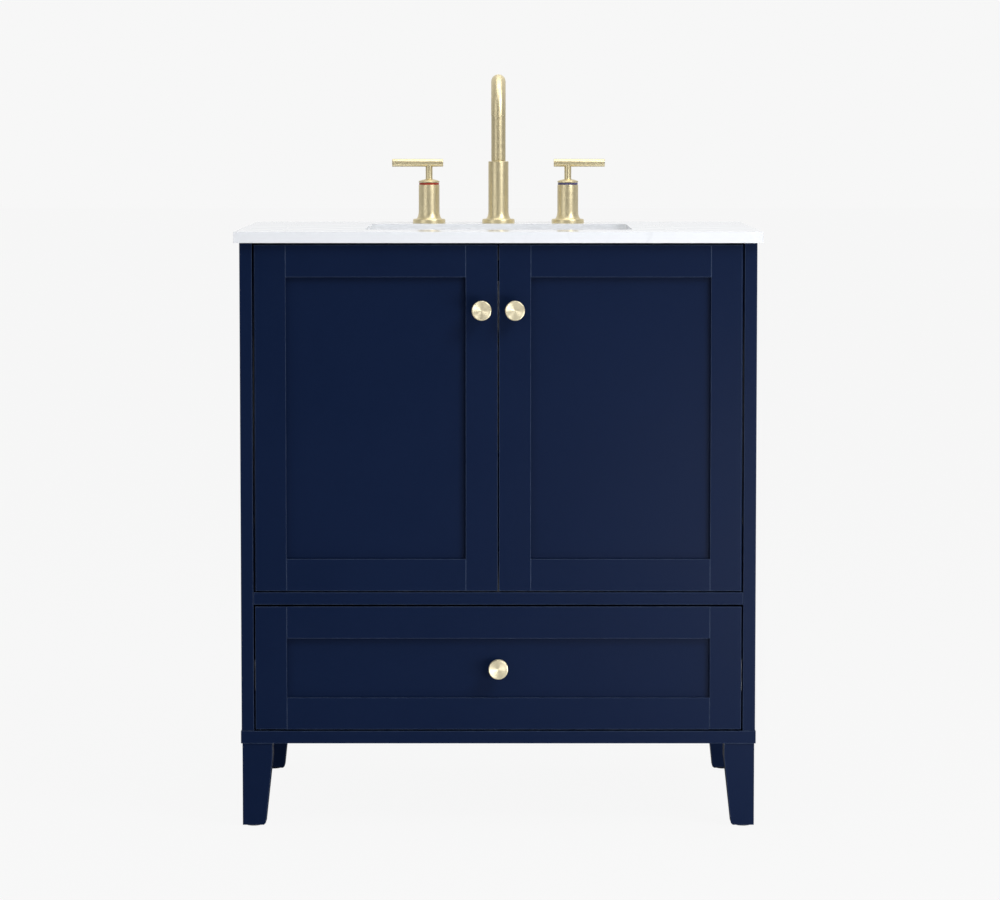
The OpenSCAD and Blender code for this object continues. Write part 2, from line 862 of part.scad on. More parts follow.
// A machine screw through a board that is grip thick, its head behind the board
module knob_screw(grip) {
    translate([0, grip + knob_screw_head_t, 0]) rotate([90, 0, 0]) {
        cylinder(r = knob_screw_head_r, h = knob_screw_head_t);
        cylinder(r = knob_screw_r, h = knob_screw_head_t + grip + knob_screw_grip);
    }
}

module knob_hole(grip) {
    translate([0, -cut, 0]) rotate([-90, 0, 0])
        cylinder(r = knob_screw_r + joint_clear, h = grip + 2 * cut);
}

// The left door's corner, at the foot of its hinge edge
module at_left_door() {
    translate([-inner_x + side_gap, front_y, door_z]) children();
}

module at_right_door() {
    mirror([1, 0, 0]) at_left_door() children();
}

module door_hinge_stile() {
    difference() {
        stile(door_h);
        for (z = hinge_levels)
            translate([cup_inset, front_t + cut, z - door_z]) rotate([90, 0, 0])
                cylinder(r = cup_r, h = cup_depth + cut);
        translate([0, 0, -cut]) linear_extrude(door_h + 2 * cut)
            polygon([[-cut, -cut], [swing_edge, -cut], [swing_edge, 0], [0, swing_edge],
                     [-cut, swing_edge]]);
    }
}

module door_latch_stile() {
    difference() {
        translate([door_w, 0, 0]) mirror([1, 0, 0]) stile(door_h);
        translate([door_w - stile_w / 2, 0, knob_z]) knob_hole(front_t);
    }
}

module door_knob() {
    translate([door_w - stile_w / 2, 0, knob_z]) knob();
}

module door_knob_screw() {
    translate([door_w - stile_w / 2, 0, knob_z]) knob_screw(front_t);
}

module left_door_hinge_stile() { color(navy) at_left_door() door_hinge_stile(); }
module left_door_latch_stile() { color(navy) at_left_door() door_latch_stile(); }
module left_door_rails() { color(navy) at_left_door() rail_pair(door_w, door_h); }
module left_door_panel() { color(navy) at_left_door() flat_panel(door_w, door_h); }
module left_door_knob() { color(gold) at_left_door() door_knob(); }
module left_door_knob_screw() { color(steel) at_left_door() door_knob_screw(); }
module left_door_hinge_cups() { door_hinge_cups(); }

module right_door_hinge_stile() { color(navy) at_right_door() door_hinge_stile(); }
module right_door_latch_stile() { color(navy) at_right_door() door_latch_stile(); }
module right_door_rails() { color(navy) at_right_door() rail_pair(door_w, door_h); }
module right_door_panel() { color(navy) at_right_door() flat_panel(door_w, door_h); }
module right_door_knob() { color(gold) at_right_door() door_knob(); }
module right_door_knob_screw() { color(steel) at_right_door() door_knob_screw(); }
module right_door_hinge_cups() { mirror([1, 0, 0]) door_hinge_cups(); }

// ---- Drawer ----

module at_drawer_front() {
    translate([-drawer_w / 2, front_y, drawer_z]) children();
}

module drawer_front_stiles() {
    color(navy) both_sides() at_drawer_front() stile(drawer_h);
}

module drawer_front_rails() {
    color(navy) at_drawer_front() rail_pair(drawer_w, drawer_h);
}

// The knob's place on the drawer's centre panel
module at_drawer_knob() {
    translate([0, front_y + panel_set, drawer_z + knob_drawer_z]) children();
}

module drawer_front_panel() {
    color(navy) difference() {
        at_drawer_front() flat_panel(drawer_w, drawer_h);
        at_drawer_knob() knob_hole(panel_t);
    }
}

module drawer_knob() {
    color(gold) at_drawer_knob() knob();
}

module drawer_knob_screw() {
    color(steel) at_drawer_knob() knob_screw(drawer_grip);
}

// The bottom's groove, cut out of all four walls
module floor_groove() {
    block([-box_x + box_t - box_floor_grip - joint_clear,
           box_y + box_t - box_floor_grip - joint_clear, box_z + box_floor_rise - joint_clear],
          [box_x - box_t + box_floor_grip + joint_clear,
           box_y + slide_l - box_t + box_floor_grip + joint_clear,
           box_z + box_floor_rise + box_floor_t + joint_clear]);
}

module box_end(y) {
    block([-box_x + box_t, y, box_z], [box_x - box_t, y + box_t, box_z + box_h]);
}

module drawer_box_front() {
    color(birch) difference() {
        box_end(box_y);
        floor_groove();
        at_drawer_knob() knob_hole(drawer_grip);
    }
}

module drawer_box_back() {
    color(birch) difference() {
        box_end(box_y + slide_l - box_t);
        floor_groove();
    }
}

module drawer_box_sides() {
    color(birch) difference() {
        both_sides()
            block([-box_x, box_y, box_z], [-box_x + box_t, box_y + slide_l, box_z + box_h]);
        floor_groove();
    }
}

module drawer_box_bottom() {
    color(birch)
        block([-box_x + box_t - box_floor_grip, box_y + box_t - box_floor_grip,
               box_z + box_floor_rise],
              [box_x - box_t + box_floor_grip, box_y + slide_l - box_t + box_floor_grip,
               box_z + box_floor_rise + box_floor_t]);
}

// A channel along +Y, its web at x = web_x and its flanges reaching to x = flange_x
module channel(web_x, flange_x, half_h) {
    web_side = flange_x > web_x ? web_x : web_x - slide_wall;
    translate([0, slide_y + slide_run, 0]) rotate([90, 0, 0]) linear_extrude(slide_run) {
        translate([web_side, -half_h]) square([slide_wall, 2 * half_h]);
        for (z = [-half_h, half_h - slide_wall])
            translate([min(web_x, flange_x), z])
                square([abs(flange_x - web_x), slide_wall]);
    }
}

module at_slides() {
    both_sides() translate([-inner_x, 0, slide_z]) children();
}

module slide_cabinet_members() {
    color(steel) at_slides() channel(0, outer_reach, slide_half_h);
}

module slide_middle_members() {
    color(steel) at_slides() channel(middle_web_x, middle_reach, middle_half_h);
}

module slide_drawer_members() {
    color(steel) at_slides() channel(slide_t, inner_reach, inner_half_h);
}

// ---- Tap ----

// The flange, flare and body that stand on the worktop, as a half outline
function tap_profile(body_r, body_h) = concat(
    [[0, 0], [tap_flange_r, 0], [tap_flange_r, tap_flange_t - tap_edge],
     [tap_flange_r - tap_edge, tap_flange_t]],
    [for (a = [0:15:90])
        [body_r + flare_out * (1 - sin(a)), tap_flange_t + flare_h * (1 - cos(a))]],
    [[body_r, body_h - 1], [body_r - 1, body_h], [0, body_h]]
);

// The threaded shank under the deck, with the smaller pipe thread at its foot
module shank() {
    translate([0, 0, -shank_l + inlet_l]) cylinder(r = shank_r, h = shank_l - inlet_l + 1);
    translate([0, 0, -shank_l]) cylinder(r = inlet_r, h = inlet_l + 1);
}

module valve_body(x) {
    color(gold) translate([x, tap_y, deck]) difference() {
        union() {
            rotate_extrude() polygon(tap_profile(handle_body_r, handle_body_h));
            shank();
        }
        translate([0, 0, handle_body_h - spigot_l])
            cylinder(r = spindle_r + run_clear, h = spigot_l + cut);
        translate([0, 0, -shank_l - cut]) cylinder(r = spout_way_r, h = shank_l);
    }
}

module hot_valve_body() { valve_body(-tap_spacing); }
module cold_valve_body() { valve_body(tap_spacing); }

module index_ring(x) {
    translate([x, tap_y, deck + handle_body_h]) pipe(handle_body_r - ring_step, ring_hole_r, ring_t);
}

module hot_index_ring() { color([0.75, 0.2, 0.13]) index_ring(-tap_spacing); }
module cold_index_ring() { color([0.25, 0.22, 0.42]) index_ring(tap_spacing); }

// A lever: a bar on a stem, with a shallow cap over the ring and a spindle below it
module lever(out_sign) {
    spindle_low = handle_body_h - spigot_l + spigot_gap;
    low_x = out_sign > 0 ? -bar_in : -bar_out;
    bar_l = bar_out + bar_in;
    rotate_extrude() polygon([
        [0, cap_z], [handle_body_r, cap_z],
        [handle_body_r, cap_z + cap_t], [handle_stem_r + 1, cap_z + cap_t + cap_rise],
        [handle_stem_r, cap_z + cap_t + cap_rise + 1], [handle_stem_r, bar_axis_h],
        [0, bar_axis_h]
    ]);
    translate([0, 0, spindle_low]) cylinder(r = spindle_r, h = cap_z + 1 - spindle_low);
    translate([low_x, 0, bar_axis_h]) rotate([0, 90, 0])
        rotate_extrude() polygon([
            [0, 0], [bar_r - tap_edge, 0], [bar_r, tap_edge], [bar_r, bar_l - tap_edge],
            [bar_r - tap_edge, bar_l], [0, bar_l]
        ]);
}

module hot_lever() {
    color(gold) translate([-tap_spacing, tap_y, deck]) lever(-1);
}

module cold_lever() {
    color(gold) translate([tap_spacing, tap_y, deck]) lever(1);
}

module spout_base() {
    color(gold) translate([0, tap_y, deck]) difference() {
        union() {
            rotate_extrude() polygon(tap_profile(spout_body_r, spout_body_h));
            shank();
        }
        translate([0, 0, spout_body_h - spigot_l])
            cylinder(r = spigot_r + run_clear, h = spigot_l + cut);
        translate([0, 0, -shank_l - cut])
            cylinder(r = spout_way_r, h = shank_l + spout_body_h + cut);
    }
}

// The gooseneck's outer or inner surface: spigot, riser and half-round bend
module spout_form(r, low_r, low_z) {
    riser_z = deck + spout_body_h + pass_gap;
    translate([0, tap_y, low_z]) cylinder(r = low_r, h = riser_z - low_z + 1);
    translate([0, tap_y, riser_z]) cylinder(r = r, h = bend_z - riser_z);
    translate([0, tap_y - spout_bend_r, bend_z]) rotate([90, 0, 90])
        rotate_extrude(angle = 180) translate([spout_bend_r, 0]) circle(r);
}

module spout() {
    spigot_z = deck + spout_body_h - spigot_l + spigot_gap;
    color(gold) difference() {
        spout_form(spout_tube_r, spigot_r, spigot_z);
        spout_form(spout_way_r, spout_way_r, spigot_z - cut);
        translate([0, tap_y - 2 * spout_bend_r, bend_z - cut])
            cylinder(r = outlet_r, h = outlet_l + cut);
    }
}

module aerator() {
    color(steel) translate([0, tap_y - 2 * spout_bend_r, bend_z]) difference() {
        cylinder(r = outlet_r - joint_clear, h = aerator_t);
        for (turn = [0:60:300])
            rotate([0, 0, turn]) translate([aerator_ring_r, 0, -cut])
                cylinder(r = aerator_hole_r, h = aerator_t + 2 * cut);
        translate([0, 0, -cut]) cylinder(r = aerator_hole_r, h = aerator_t + 2 * cut);
    }
}

module tap_mounting_nuts() {
    color(gold) at_tap_holes() translate([0, 0, carcass_top - washer_t - tap_nut_t])
        difference() {
            union() {
                cylinder(r = tap_nut_r, h = tap_nut_t, $fn = 6);
                translate([0, 0, tap_nut_t]) cylinder(r = tap_nut_r + washer_out, h = washer_t);
            }
            translate([0, 0, -cut])
                cylinder(r = shank_r + joint_clear, h = tap_nut_t + washer_t + 2 * cut);
        }
}

left_side_panel();
right_side_panel();
base_board();
mid_shelf();
back_panel();
front_rail();
back_rail();
corner_blocks();
door_stop();
front_left_leg();
front_right_leg();
back_left_leg();
back_right_leg();
leg_glides();
leg_screws();
worktop();
sink_basin();
sink_clips();
drain_body();
drain_nut();
drain_tailpiece();
drain_stopper();
hinge_plates();
hinge_arms();
slide_cabinet_members();
slide_middle_members();
left_door_hinge_stile();
left_door_latch_stile();
left_door_rails();
left_door_panel();
left_door_knob();
left_door_knob_screw();
left_door_hinge_cups();
right_door_hinge_stile();
right_door_latch_stile();
right_door_rails();
right_door_panel();
right_door_knob();
right_door_knob_screw();
right_door_hinge_cups();
drawer_front_stiles();
drawer_front_rails();
drawer_front_panel();
drawer_knob();
drawer_knob_screw();
drawer_box_front();
drawer_box_back();
drawer_box_sides();
drawer_box_bottom();
slide_drawer_members();
spout_base();
spout();
aerator();
hot_valve_body();
cold_valve_body();
hot_index_ring();
cold_index_ring();
hot_lever();
cold_lever();
tap_mounting_nuts();
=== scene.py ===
import json
import math

import bmesh
import bpy
from mathutils import Matrix, Vector


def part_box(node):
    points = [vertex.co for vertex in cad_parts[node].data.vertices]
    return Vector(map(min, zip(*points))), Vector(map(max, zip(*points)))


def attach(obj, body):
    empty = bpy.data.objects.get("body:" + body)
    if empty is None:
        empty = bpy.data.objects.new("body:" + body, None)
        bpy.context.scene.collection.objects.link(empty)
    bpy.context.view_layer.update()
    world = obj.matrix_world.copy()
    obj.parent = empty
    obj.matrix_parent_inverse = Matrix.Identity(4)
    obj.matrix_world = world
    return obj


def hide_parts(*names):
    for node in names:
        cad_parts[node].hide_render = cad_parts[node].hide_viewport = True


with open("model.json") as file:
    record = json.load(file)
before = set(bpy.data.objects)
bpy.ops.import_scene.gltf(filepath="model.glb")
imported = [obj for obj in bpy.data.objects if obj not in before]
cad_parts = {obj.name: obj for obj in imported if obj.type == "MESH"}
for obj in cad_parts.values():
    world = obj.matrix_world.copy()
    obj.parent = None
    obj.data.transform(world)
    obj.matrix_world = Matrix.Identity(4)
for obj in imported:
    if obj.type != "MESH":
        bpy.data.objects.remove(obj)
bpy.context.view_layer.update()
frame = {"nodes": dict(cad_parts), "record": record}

record = frame["record"]
body_of = {node: body for body, nodes in record["behaviour"]["bodies"].items() for node in nodes}

# ---- Camera, lights and floor ----
# A long lens looks along +Y from a little above the top, tilted slightly down. Large soft lamps
# stand high, with a low one for the legs, and the floor and the air are near white.

def in_scene(name, data):
    """A new object made of that data and linked into the scene."""
    thing = bpy.data.objects.new(name, data)
    bpy.context.scene.collection.objects.link(thing)
    return thing


camera = in_scene("camera", bpy.data.cameras.new("camera"))
bpy.context.scene.camera = camera
camera.data.sensor_width = 36.0
camera.data.lens = 145.34
camera.location = (0.0024, -6.0256, 1.0191)
TILT_DOWN = 4.697
camera.rotation_euler = (math.radians(90.0 - TILT_DOWN), 0.0, 0.0)
camera.data.clip_start = 0.1
camera.data.clip_end = 100.0
bpy.context.scene.view_settings.view_transform = "Standard"

PALE = 0.930


def soft_lamp(name, place, aim, width, height, watts):
    lamp = in_scene(name, bpy.data.lights.new(name, "AREA"))
    lamp.data.shape = "RECTANGLE"
    lamp.data.size = width
    lamp.data.size_y = height
    lamp.data.energy = watts
    lamp.location = place
    lamp.rotation_mode = "QUATERNION"
    lamp.rotation_quaternion = (Vector(aim) - Vector(place)).to_track_quat("-Z", "Y")


soft_lamp("key_lamp", (2.3, -2.6, 3.3), (0.0, -0.1, 0.6), 1.6, 1.6, 92.0)
soft_lamp("fill_lamp", (-2.9, -2.9, 2.2), (0.0, -0.1, 0.6), 2.4, 2.4, 25.0)
soft_lamp("top_lamp", (0.2, 0.0, 3.4), (0.0, 0.0, 0.8), 2.6, 2.0, 38.0)
soft_lamp("low_lamp", (1.0, -1.7, 0.25), (0.2, -0.25, 0.2), 1.4, 0.5, 16.0)


def fill(tree, node, inputs):
    """Gives each input a number, a colour or a link from another node's output."""
    for label, value in inputs.items():
        if isinstance(value, bpy.types.NodeSocket):
            tree.links.new(value, node.inputs[label])
        else:
            node.inputs[label].default_value = value
    return node


def add(tree, kind, settings=None, inputs=None):
    """A shader node of that kind, with its settings and its inputs."""
    node = tree.nodes.new("ShaderNode" + kind)
    for label, value in (settings or {}).items():
        setattr(node, label, value)
    return fill(tree, node, inputs or {})


air = bpy.data.worlds.new("studio_air")
bpy.context.scene.world = air
air.use_nodes = True
tree = air.node_tree
tree.nodes.clear()
way = add(tree, "TexCoord")
split = add(tree, "SeparateXYZ", None, {"Vector": way.outputs["Generated"]})
# Shiny things see air that is dim on the viewer's side and bright behind the cabinet
backdrop = add(tree, "MapRange", None, {
    "Value": split.outputs["Y"], "From Min": -0.5, "From Max": 0.75,
    "To Min": 0.22, "To Max": 0.84})
seen = add(tree, "LightPath")
soft = add(tree, "Mix", {"data_type": "FLOAT"}, {
    "Factor": seen.outputs["Is Glossy Ray"], "A": 0.35, "B": backdrop.outputs["Result"]})
level = add(tree, "Mix", {"data_type": "FLOAT"}, {
    "Factor": seen.outputs["Is Camera Ray"], "A": soft.outputs["Result"], "B": PALE})
glow = add(tree, "Background", None, {"Color": level.outputs["Result"]})
add(tree, "OutputWorld", None, {"Surface": glow.outputs["Background"]})

floor_mesh = bpy.data.meshes.new("floor")
reach = 40.0
floor_mesh.from_pydata(
    [(-reach, -reach, 0.0), (reach, -reach, 0.0), (reach, reach, 0.0), (-reach, reach, 0.0)],
    [], [(0, 1, 2, 3)])
floor = in_scene("floor", floor_mesh)
floor_paint = bpy.data.materials.new("pale_floor")
floor_paint.use_nodes = True
tree = floor_paint.node_tree
tree.nodes.clear()
seen = add(tree, "LightPath")
matt = add(tree, "BsdfDiffuse", None, {"Color": (0.02, 0.02, 0.02, 1.0)})
glow = add(tree, "Emission", None, {"Color": (PALE, PALE, PALE, 1.0), "Strength": 0.985})
both = add(tree, "AddShader", None, {0: matt.outputs["BSDF"], 1: glow.outputs["Emission"]})
dull = add(tree, "BsdfDiffuse", None, {"Color": (0.50, 0.50, 0.50, 1.0)})
pick = add(tree, "MixShader", None, {
    0: seen.outputs["Is Camera Ray"], 1: dull.outputs["BSDF"], 2: both.outputs["Shader"]})
add(tree, "OutputMaterial", None, {"Surface": pick.outputs["Shader"]})
floor_mesh.materials.append(floor_paint)


# ---- Painted woodwork ----
# The carcass boards, the four tapered legs, the framed doors and the drawer front are birch and
# fibreboard, glued up with eased edges and sprayed with satin navy lacquer over a sealed grain.

def new_group(name, takes, gives):
    """An empty shader group with named inputs and outputs."""
    tree = bpy.data.node_groups.new(name, "ShaderNodeTree")
    for label, (kind, value) in takes.items():
        socket = tree.interface.new_socket(label, in_out="INPUT", socket_type="NodeSocket" + kind)
        if value is not None:
            socket.default_value = value
    for label, kind in gives.items():
        tree.interface.new_socket(label, in_out="OUTPUT", socket_type="NodeSocket" + kind)
    return tree, tree.nodes.new("NodeGroupInput").outputs, tree.nodes.new("NodeGroupOutput").inputs


def place_group(tree, group, inputs):
    node = tree.nodes.new("ShaderNodeGroup")
    node.node_tree = group
    return fill(tree, node, inputs).outputs


def noise(tree, place, scale, detail, roughness=0.5):
    return add(tree, "TexNoise", None, {
        "Vector": place, "Scale": scale, "Detail": detail, "Roughness": roughness})


def mixed(tree, share, dark, light):
    """Colour that runs from dark to light as share goes from 0 to 1."""
    return add(tree, "Mix", {"data_type": "RGBA"}, {"Factor": share, "A": dark, "B": light})


def spread(tree, value, low, high, to_low=0.0, to_high=1.0):
    """Maps the value's low to high span onto another span, and holds it at the ends."""
    return add(tree, "MapRange", None, {
        "Value": value, "From Min": low, "From Max": high, "To Min": to_low, "To Max": to_high})


def raised(tree, height, strength, distance):
    return add(tree, "Bump", None, {
        "Height": height, "Strength": strength, "Distance": distance})


def dress(tree, shader, tone, rough, skin):
    """Joins a finish's colour, roughness and surface relief to its shader."""
    tree.links.new(tone.outputs["Result"], shader["Base Color"])
    tree.links.new(rough.outputs["Result"], shader["Roughness"])
    tree.links.new(skin.outputs["Normal"], shader["Normal"])


def new_finish(name, metallic=0.0, **fixed):
    """A material whose constants sit on its own shader; returns it with its tree and shader."""
    finish = bpy.data.materials.new(name)
    finish.use_nodes = True
    tree = finish.node_tree
    tree.nodes.clear()
    shader = add(tree, "BsdfPrincipled", None, {"Metallic": metallic, **fixed})
    add(tree, "OutputMaterial", None, {"Surface": shader.outputs["BSDF"]})
    return finish, tree, shader.inputs


# Marks 1 along eased edges, fading into the faces. The lacquer uses it for a painted highlight
# along each edge, with a little wear; plated steel is made lighter along its edges with it
edge_wear_and_highlight, takes, gives = new_group(
    "edge_wear_and_highlight", {"Width": ("Float", 0.001), "Patchiness": ("Float", 60.0)}, {"Mask": "Float"})
rounded = add(edge_wear_and_highlight, "Bevel", {"samples": 4}, {"Radius": takes["Width"]})
flat = add(edge_wear_and_highlight, "NewGeometry")
turn = add(edge_wear_and_highlight, "VectorMath", {"operation": "DOT_PRODUCT"}, {
    0: rounded.outputs["Normal"], 1: flat.outputs["Normal"]})
bent = spread(edge_wear_and_highlight, turn.outputs["Value"], 0.999, 0.93)
spot = add(edge_wear_and_highlight, "TexCoord").outputs["Object"]
patch = noise(edge_wear_and_highlight, spot, takes["Patchiness"], 3.0)
kept = spread(edge_wear_and_highlight, patch.outputs["Fac"], 0.2, 0.6, 0.45)
mask = add(edge_wear_and_highlight, "Math", {"operation": "MULTIPLY"}, {
    0: bent.outputs["Result"], 1: kept.outputs["Result"]})
edge_wear_and_highlight.links.new(mask.outputs["Value"], gives["Mask"])

# Sprayed skin: fine orange peel over faint brushed-out grain that runs along Grain
sprayed, takes, gives = new_group(
    "sprayed_skin", {"Grain": ("Vector", (1.0, 1.0, 0.06)), "Peel": ("Float", 900.0)},
    {"Height": "Float", "Cloud": "Float"})
spot = add(sprayed, "TexCoord").outputs["Object"]
run = add(sprayed, "VectorMath", {"operation": "MULTIPLY"}, {
    0: spot, 1: takes["Grain"]})
pores = noise(sprayed, run.outputs["Vector"], 420.0, 4.0, 0.6)
peel = noise(sprayed, spot, takes["Peel"], 2.0)
high = add(sprayed, "Mix", {"data_type": "FLOAT"}, {
    "Factor": 0.45, "A": pores.outputs["Fac"], "B": peel.outputs["Fac"]})
cloud = noise(sprayed, spot, 7.0, 4.0, 0.65)
sprayed.links.new(high.outputs["Result"], gives["Height"])
sprayed.links.new(cloud.outputs["Fac"], gives["Cloud"])


def navy_lacquer(name, grain):
    finish, tree, shader = new_finish(name, **{
        "Specular IOR Level": 0.06, "Coat Roughness": 0.32, "Coat IOR": 1.45})
    skin = place_group(tree, sprayed, {"Grain": grain, "Peel": 900.0})
    edge_band = place_group(tree, edge_wear_and_highlight, {"Width": 0.0012, "Patchiness": 70.0})
    body = mixed(tree, skin["Cloud"], (0.0022, 0.0083, 0.0330, 1.0), (0.0030, 0.0101, 0.0385, 1.0))
    # Lighter navy along the eased edges: a painted highlight where the bevels would catch the
    # lamps, with a little wear
    edge_lightened = mixed(tree, edge_band["Mask"], body.outputs["Result"], (0.055, 0.078, 0.135, 1.0))
    rough = spread(tree, skin["Cloud"], 0.3, 0.7, 0.40, 0.47)
    bump = raised(tree, skin["Height"], 0.22, 0.00025)
    dress(tree, shader, edge_lightened, rough, bump)
    shader["Coat Weight"].default_value = 0.03
    return finish


# How far grain is drawn out along each axis
UPRIGHT, ACROSS, INWARD = (1.0, 1.0, 0.06), (0.06, 1.0, 1.0), (1.0, 0.06, 1.0)
navy_upright = navy_lacquer("navy_lacquer_upright", UPRIGHT)
navy_across = navy_lacquer("navy_lacquer_across", ACROSS)


CAD_WELD = 2e-6
FLAT_WITHIN = 0.6


def eased_copy(node, name, finish, ease, steps=2, smooth_below=32.0):
    """The CAD piece with its edges eased by that radius, standing for it on the same body."""
    mesh = frame["nodes"][node].data.copy()
    mesh.name = name
    work = bmesh.new()
    work.from_mesh(mesh)
    bmesh.ops.remove_doubles(work, verts=work.verts, dist=CAD_WELD)
    bmesh.ops.dissolve_limit(
        work, angle_limit=math.radians(FLAT_WITHIN), verts=work.verts, edges=work.edges)
    bmesh.ops.recalc_face_normals(work, faces=work.faces)
    work.to_mesh(mesh)
    work.free()
    mesh.materials.clear()
    mesh.materials.append(finish)
    mesh.shade_smooth()
    mesh.set_sharp_from_angle(angle=math.radians(smooth_below))
    piece = in_scene(name, mesh)
    if ease:
        edge = piece.modifiers.new("eased_edges", "BEVEL")
        edge.width = ease
        edge.segments = steps
        edge.limit_method = "ANGLE"
        edge.angle_limit = math.radians(smooth_below)
        edge.harden_normals = True
        edge.use_clamp_overlap = True
    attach(piece, body_of[node])
    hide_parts(node)
    return piece


BOARD_EASE, FRAME_EASE, PANEL_EASE, LEG_EASE = 0.0009, 0.0007, 0.0003, 0.0010
for node, finish in {
        "left_side_panel": navy_upright, "right_side_panel": navy_upright,
        "base_board": navy_across, "mid_shelf": navy_across, "back_panel": navy_upright,
        "front_rail": navy_across, "back_rail": navy_across}.items():
    eased_copy(node, node + "_painted", finish, BOARD_EASE)
for node in ("front_left_leg", "front_right_leg", "back_left_leg", "back_right_leg"):
    eased_copy(node, node + "_painted", navy_upright, LEG_EASE, 3)
for side in ("left", "right"):
    for part, finish, ease in (
            ("hinge_stile", navy_upright, FRAME_EASE), ("latch_stile", navy_upright, FRAME_EASE),
            ("rails", navy_across, FRAME_EASE), ("panel", navy_upright, PANEL_EASE)):
        eased_copy(f"{side}_door_{part}", f"{side}_door_{part}_painted", finish, ease)
for part, finish, ease in (
        ("stiles", navy_upright, FRAME_EASE), ("rails", navy_across, FRAME_EASE),
        ("panel", navy_across, PANEL_EASE)):
    eased_copy(f"drawer_front_{part}", f"drawer_front_{part}_painted", finish, ease)


# ---- Worktop ----
# One slab of white engineered quartz with faint grey veins and a fine crushed-stone fleck. Its
# faces are polished and its arrises eased by hand; it sits on the carcass on a bed of silicone.

quartz, tree, shader = new_finish("white_quartz", **{
    "Specular IOR Level": 0.5, "Coat Roughness": 0.06})
spot = add(tree, "TexCoord").outputs["Object"]
bend = noise(tree, spot, 3.2, 5.0, 0.6)
pulled = add(tree, "VectorMath", {"operation": "SCALE"}, {0: bend.outputs["Color"], "Scale": 0.55})
drift = add(tree, "VectorMath", {"operation": "ADD"}, {
    0: spot, 1: pulled.outputs["Vector"]})
web = add(tree, "TexVoronoi", {"feature": "DISTANCE_TO_EDGE"}, {
    "Vector": drift.outputs["Vector"], "Scale": 5.5})
line = add(tree, "MapRange", {"interpolation_type": "SMOOTHSTEP"}, {
    "Value": web.outputs["Distance"], "From Min": 0.035, "From Max": 0.0})
fade = noise(tree, spot, 6.0, 2.0)
some = spread(tree, fade.outputs["Fac"], 0.52, 0.68, 0.0, 0.20)
vein = add(tree, "Math", {"operation": "MULTIPLY"}, {
    0: line.outputs["Result"], 1: some.outputs["Result"]})
crush = add(tree, "TexVoronoi", None, {"Vector": spot, "Scale": 620.0})
fleck = spread(tree, crush.outputs["Distance"], 0.16, 0.05, 0.0, 0.30)
milk = noise(tree, spot, 14.0, 6.0, 0.7)
base = mixed(tree, milk.outputs["Fac"], (0.750, 0.770, 0.810, 1.0), (0.810, 0.830, 0.865, 1.0))
veined = mixed(tree, vein.outputs["Value"], base.outputs["Result"], (0.50, 0.52, 0.55, 1.0))
flecked = mixed(tree, fleck.outputs["Result"], veined.outputs["Result"], (0.62, 0.64, 0.66, 1.0))
shine = spread(tree, milk.outputs["Fac"], 0.3, 0.7, 0.10, 0.16)
wavy = raised(tree, milk.outputs["Fac"], 0.05, 0.0004)
dress(tree, shader, flecked, shine, wavy)
SLAB_EASE = 0.0008
eased_copy("worktop", "quartz_slab", quartz, SLAB_EASE, 3)


# ---- Bowl ----
# An undermount vitreous-china bowl: a flat ledge glued and clipped under the slab, walls that
# slope in to a softly rounded floor, and a floor that falls gently to the drain's seat.

glaze, tree, shader = new_finish("white_glaze", **{
    "Specular IOR Level": 0.5, "Coat Weight": 0.6, "Coat Roughness": 0.03})
spot = add(tree, "TexCoord").outputs["Object"]
pool = noise(tree, spot, 9.0, 3.0)
tone = mixed(tree, pool.outputs["Fac"], (0.83, 0.835, 0.835, 1.0), (0.88, 0.885, 0.885, 1.0))
pits = noise(tree, spot, 160.0, 2.0)
shine = spread(tree, pits.outputs["Fac"], 0.3, 0.8, 0.06, 0.12)
skin = raised(tree, pool.outputs["Fac"], 0.08, 0.002)
dress(tree, shader, tone, shine, skin)


NO_SLOPE, FAR_OFF, WELD = 1e-9, 9.0, 1e-7


def box_ray(angle, half_w, half_d, corner):
    """How far a round-cornered rectangle's edge is from its middle, in that direction."""
    dx, dy = abs(math.cos(angle)), abs(math.sin(angle))
    cx, cy = half_w - corner, half_d - corner
    far = min(half_w / dx if dx > NO_SLOPE else FAR_OFF,
              half_d / dy if dy > NO_SLOPE else FAR_OFF)
    if far * dx > cx and far * dy > cy:
        along = dx * cx + dy * cy
        far = along + math.sqrt(max(0.0, along * along - cx * cx - cy * cy + corner * corner))
    return far


def ring_angles(half_w, half_d, corner, straight, bend):
    """Directions with extra points round the corners of a round-cornered rectangle."""
    cx, cy = half_w - corner, half_d - corner
    points = []
    for quarter in range(4):
        sx, sy = ((1, 1), (-1, 1), (-1, -1), (1, -1))[quarter]
        for step in range(bend + 1):
            part = math.radians(90.0 * step / bend)
            lean = part if quarter % 2 == 0 else math.pi / 2 - part
            points.append((sx * (cx + corner * math.cos(lean)),
                           sy * (cy + corner * math.sin(lean))))
        to_x, to_y = ((-cx, half_d), (-half_w, -cy), (cx, -half_d), (half_w, cy))[quarter]
        from_x, from_y = points[-1]
        for step in range(1, straight):
            share = step / straight
            points.append((from_x + (to_x - from_x) * share, from_y + (to_y - from_y) * share))
    return [math.atan2(y, x) for x, y in points]


def loft(name, rings, middle, finish):
    """A closed skin over rings of equal point counts; the last ring joins the first."""
    mesh = bpy.data.meshes.new(name)
    count = len(rings[0])
    points = [tuple(Vector(p) + middle) for ring in rings for p in ring]
    faces = []
    for span in range(len(rings)):
        a, b = span * count, (span + 1) % len(rings) * count
        for step in range(count):
            following = (step + 1) % count
            faces.append((a + step, a + following, b + following, b + step))
    mesh.from_pydata(points, [], faces)
    work = bmesh.new()
    work.from_mesh(mesh)
    bmesh.ops.remove_doubles(work, verts=work.verts, dist=WELD)
    bmesh.ops.recalc_face_normals(work, faces=work.faces)
    work.to_mesh(mesh)
    work.free()
    mesh.materials.append(finish)
    mesh.shade_smooth()
    piece = in_scene(name, mesh)
    return piece


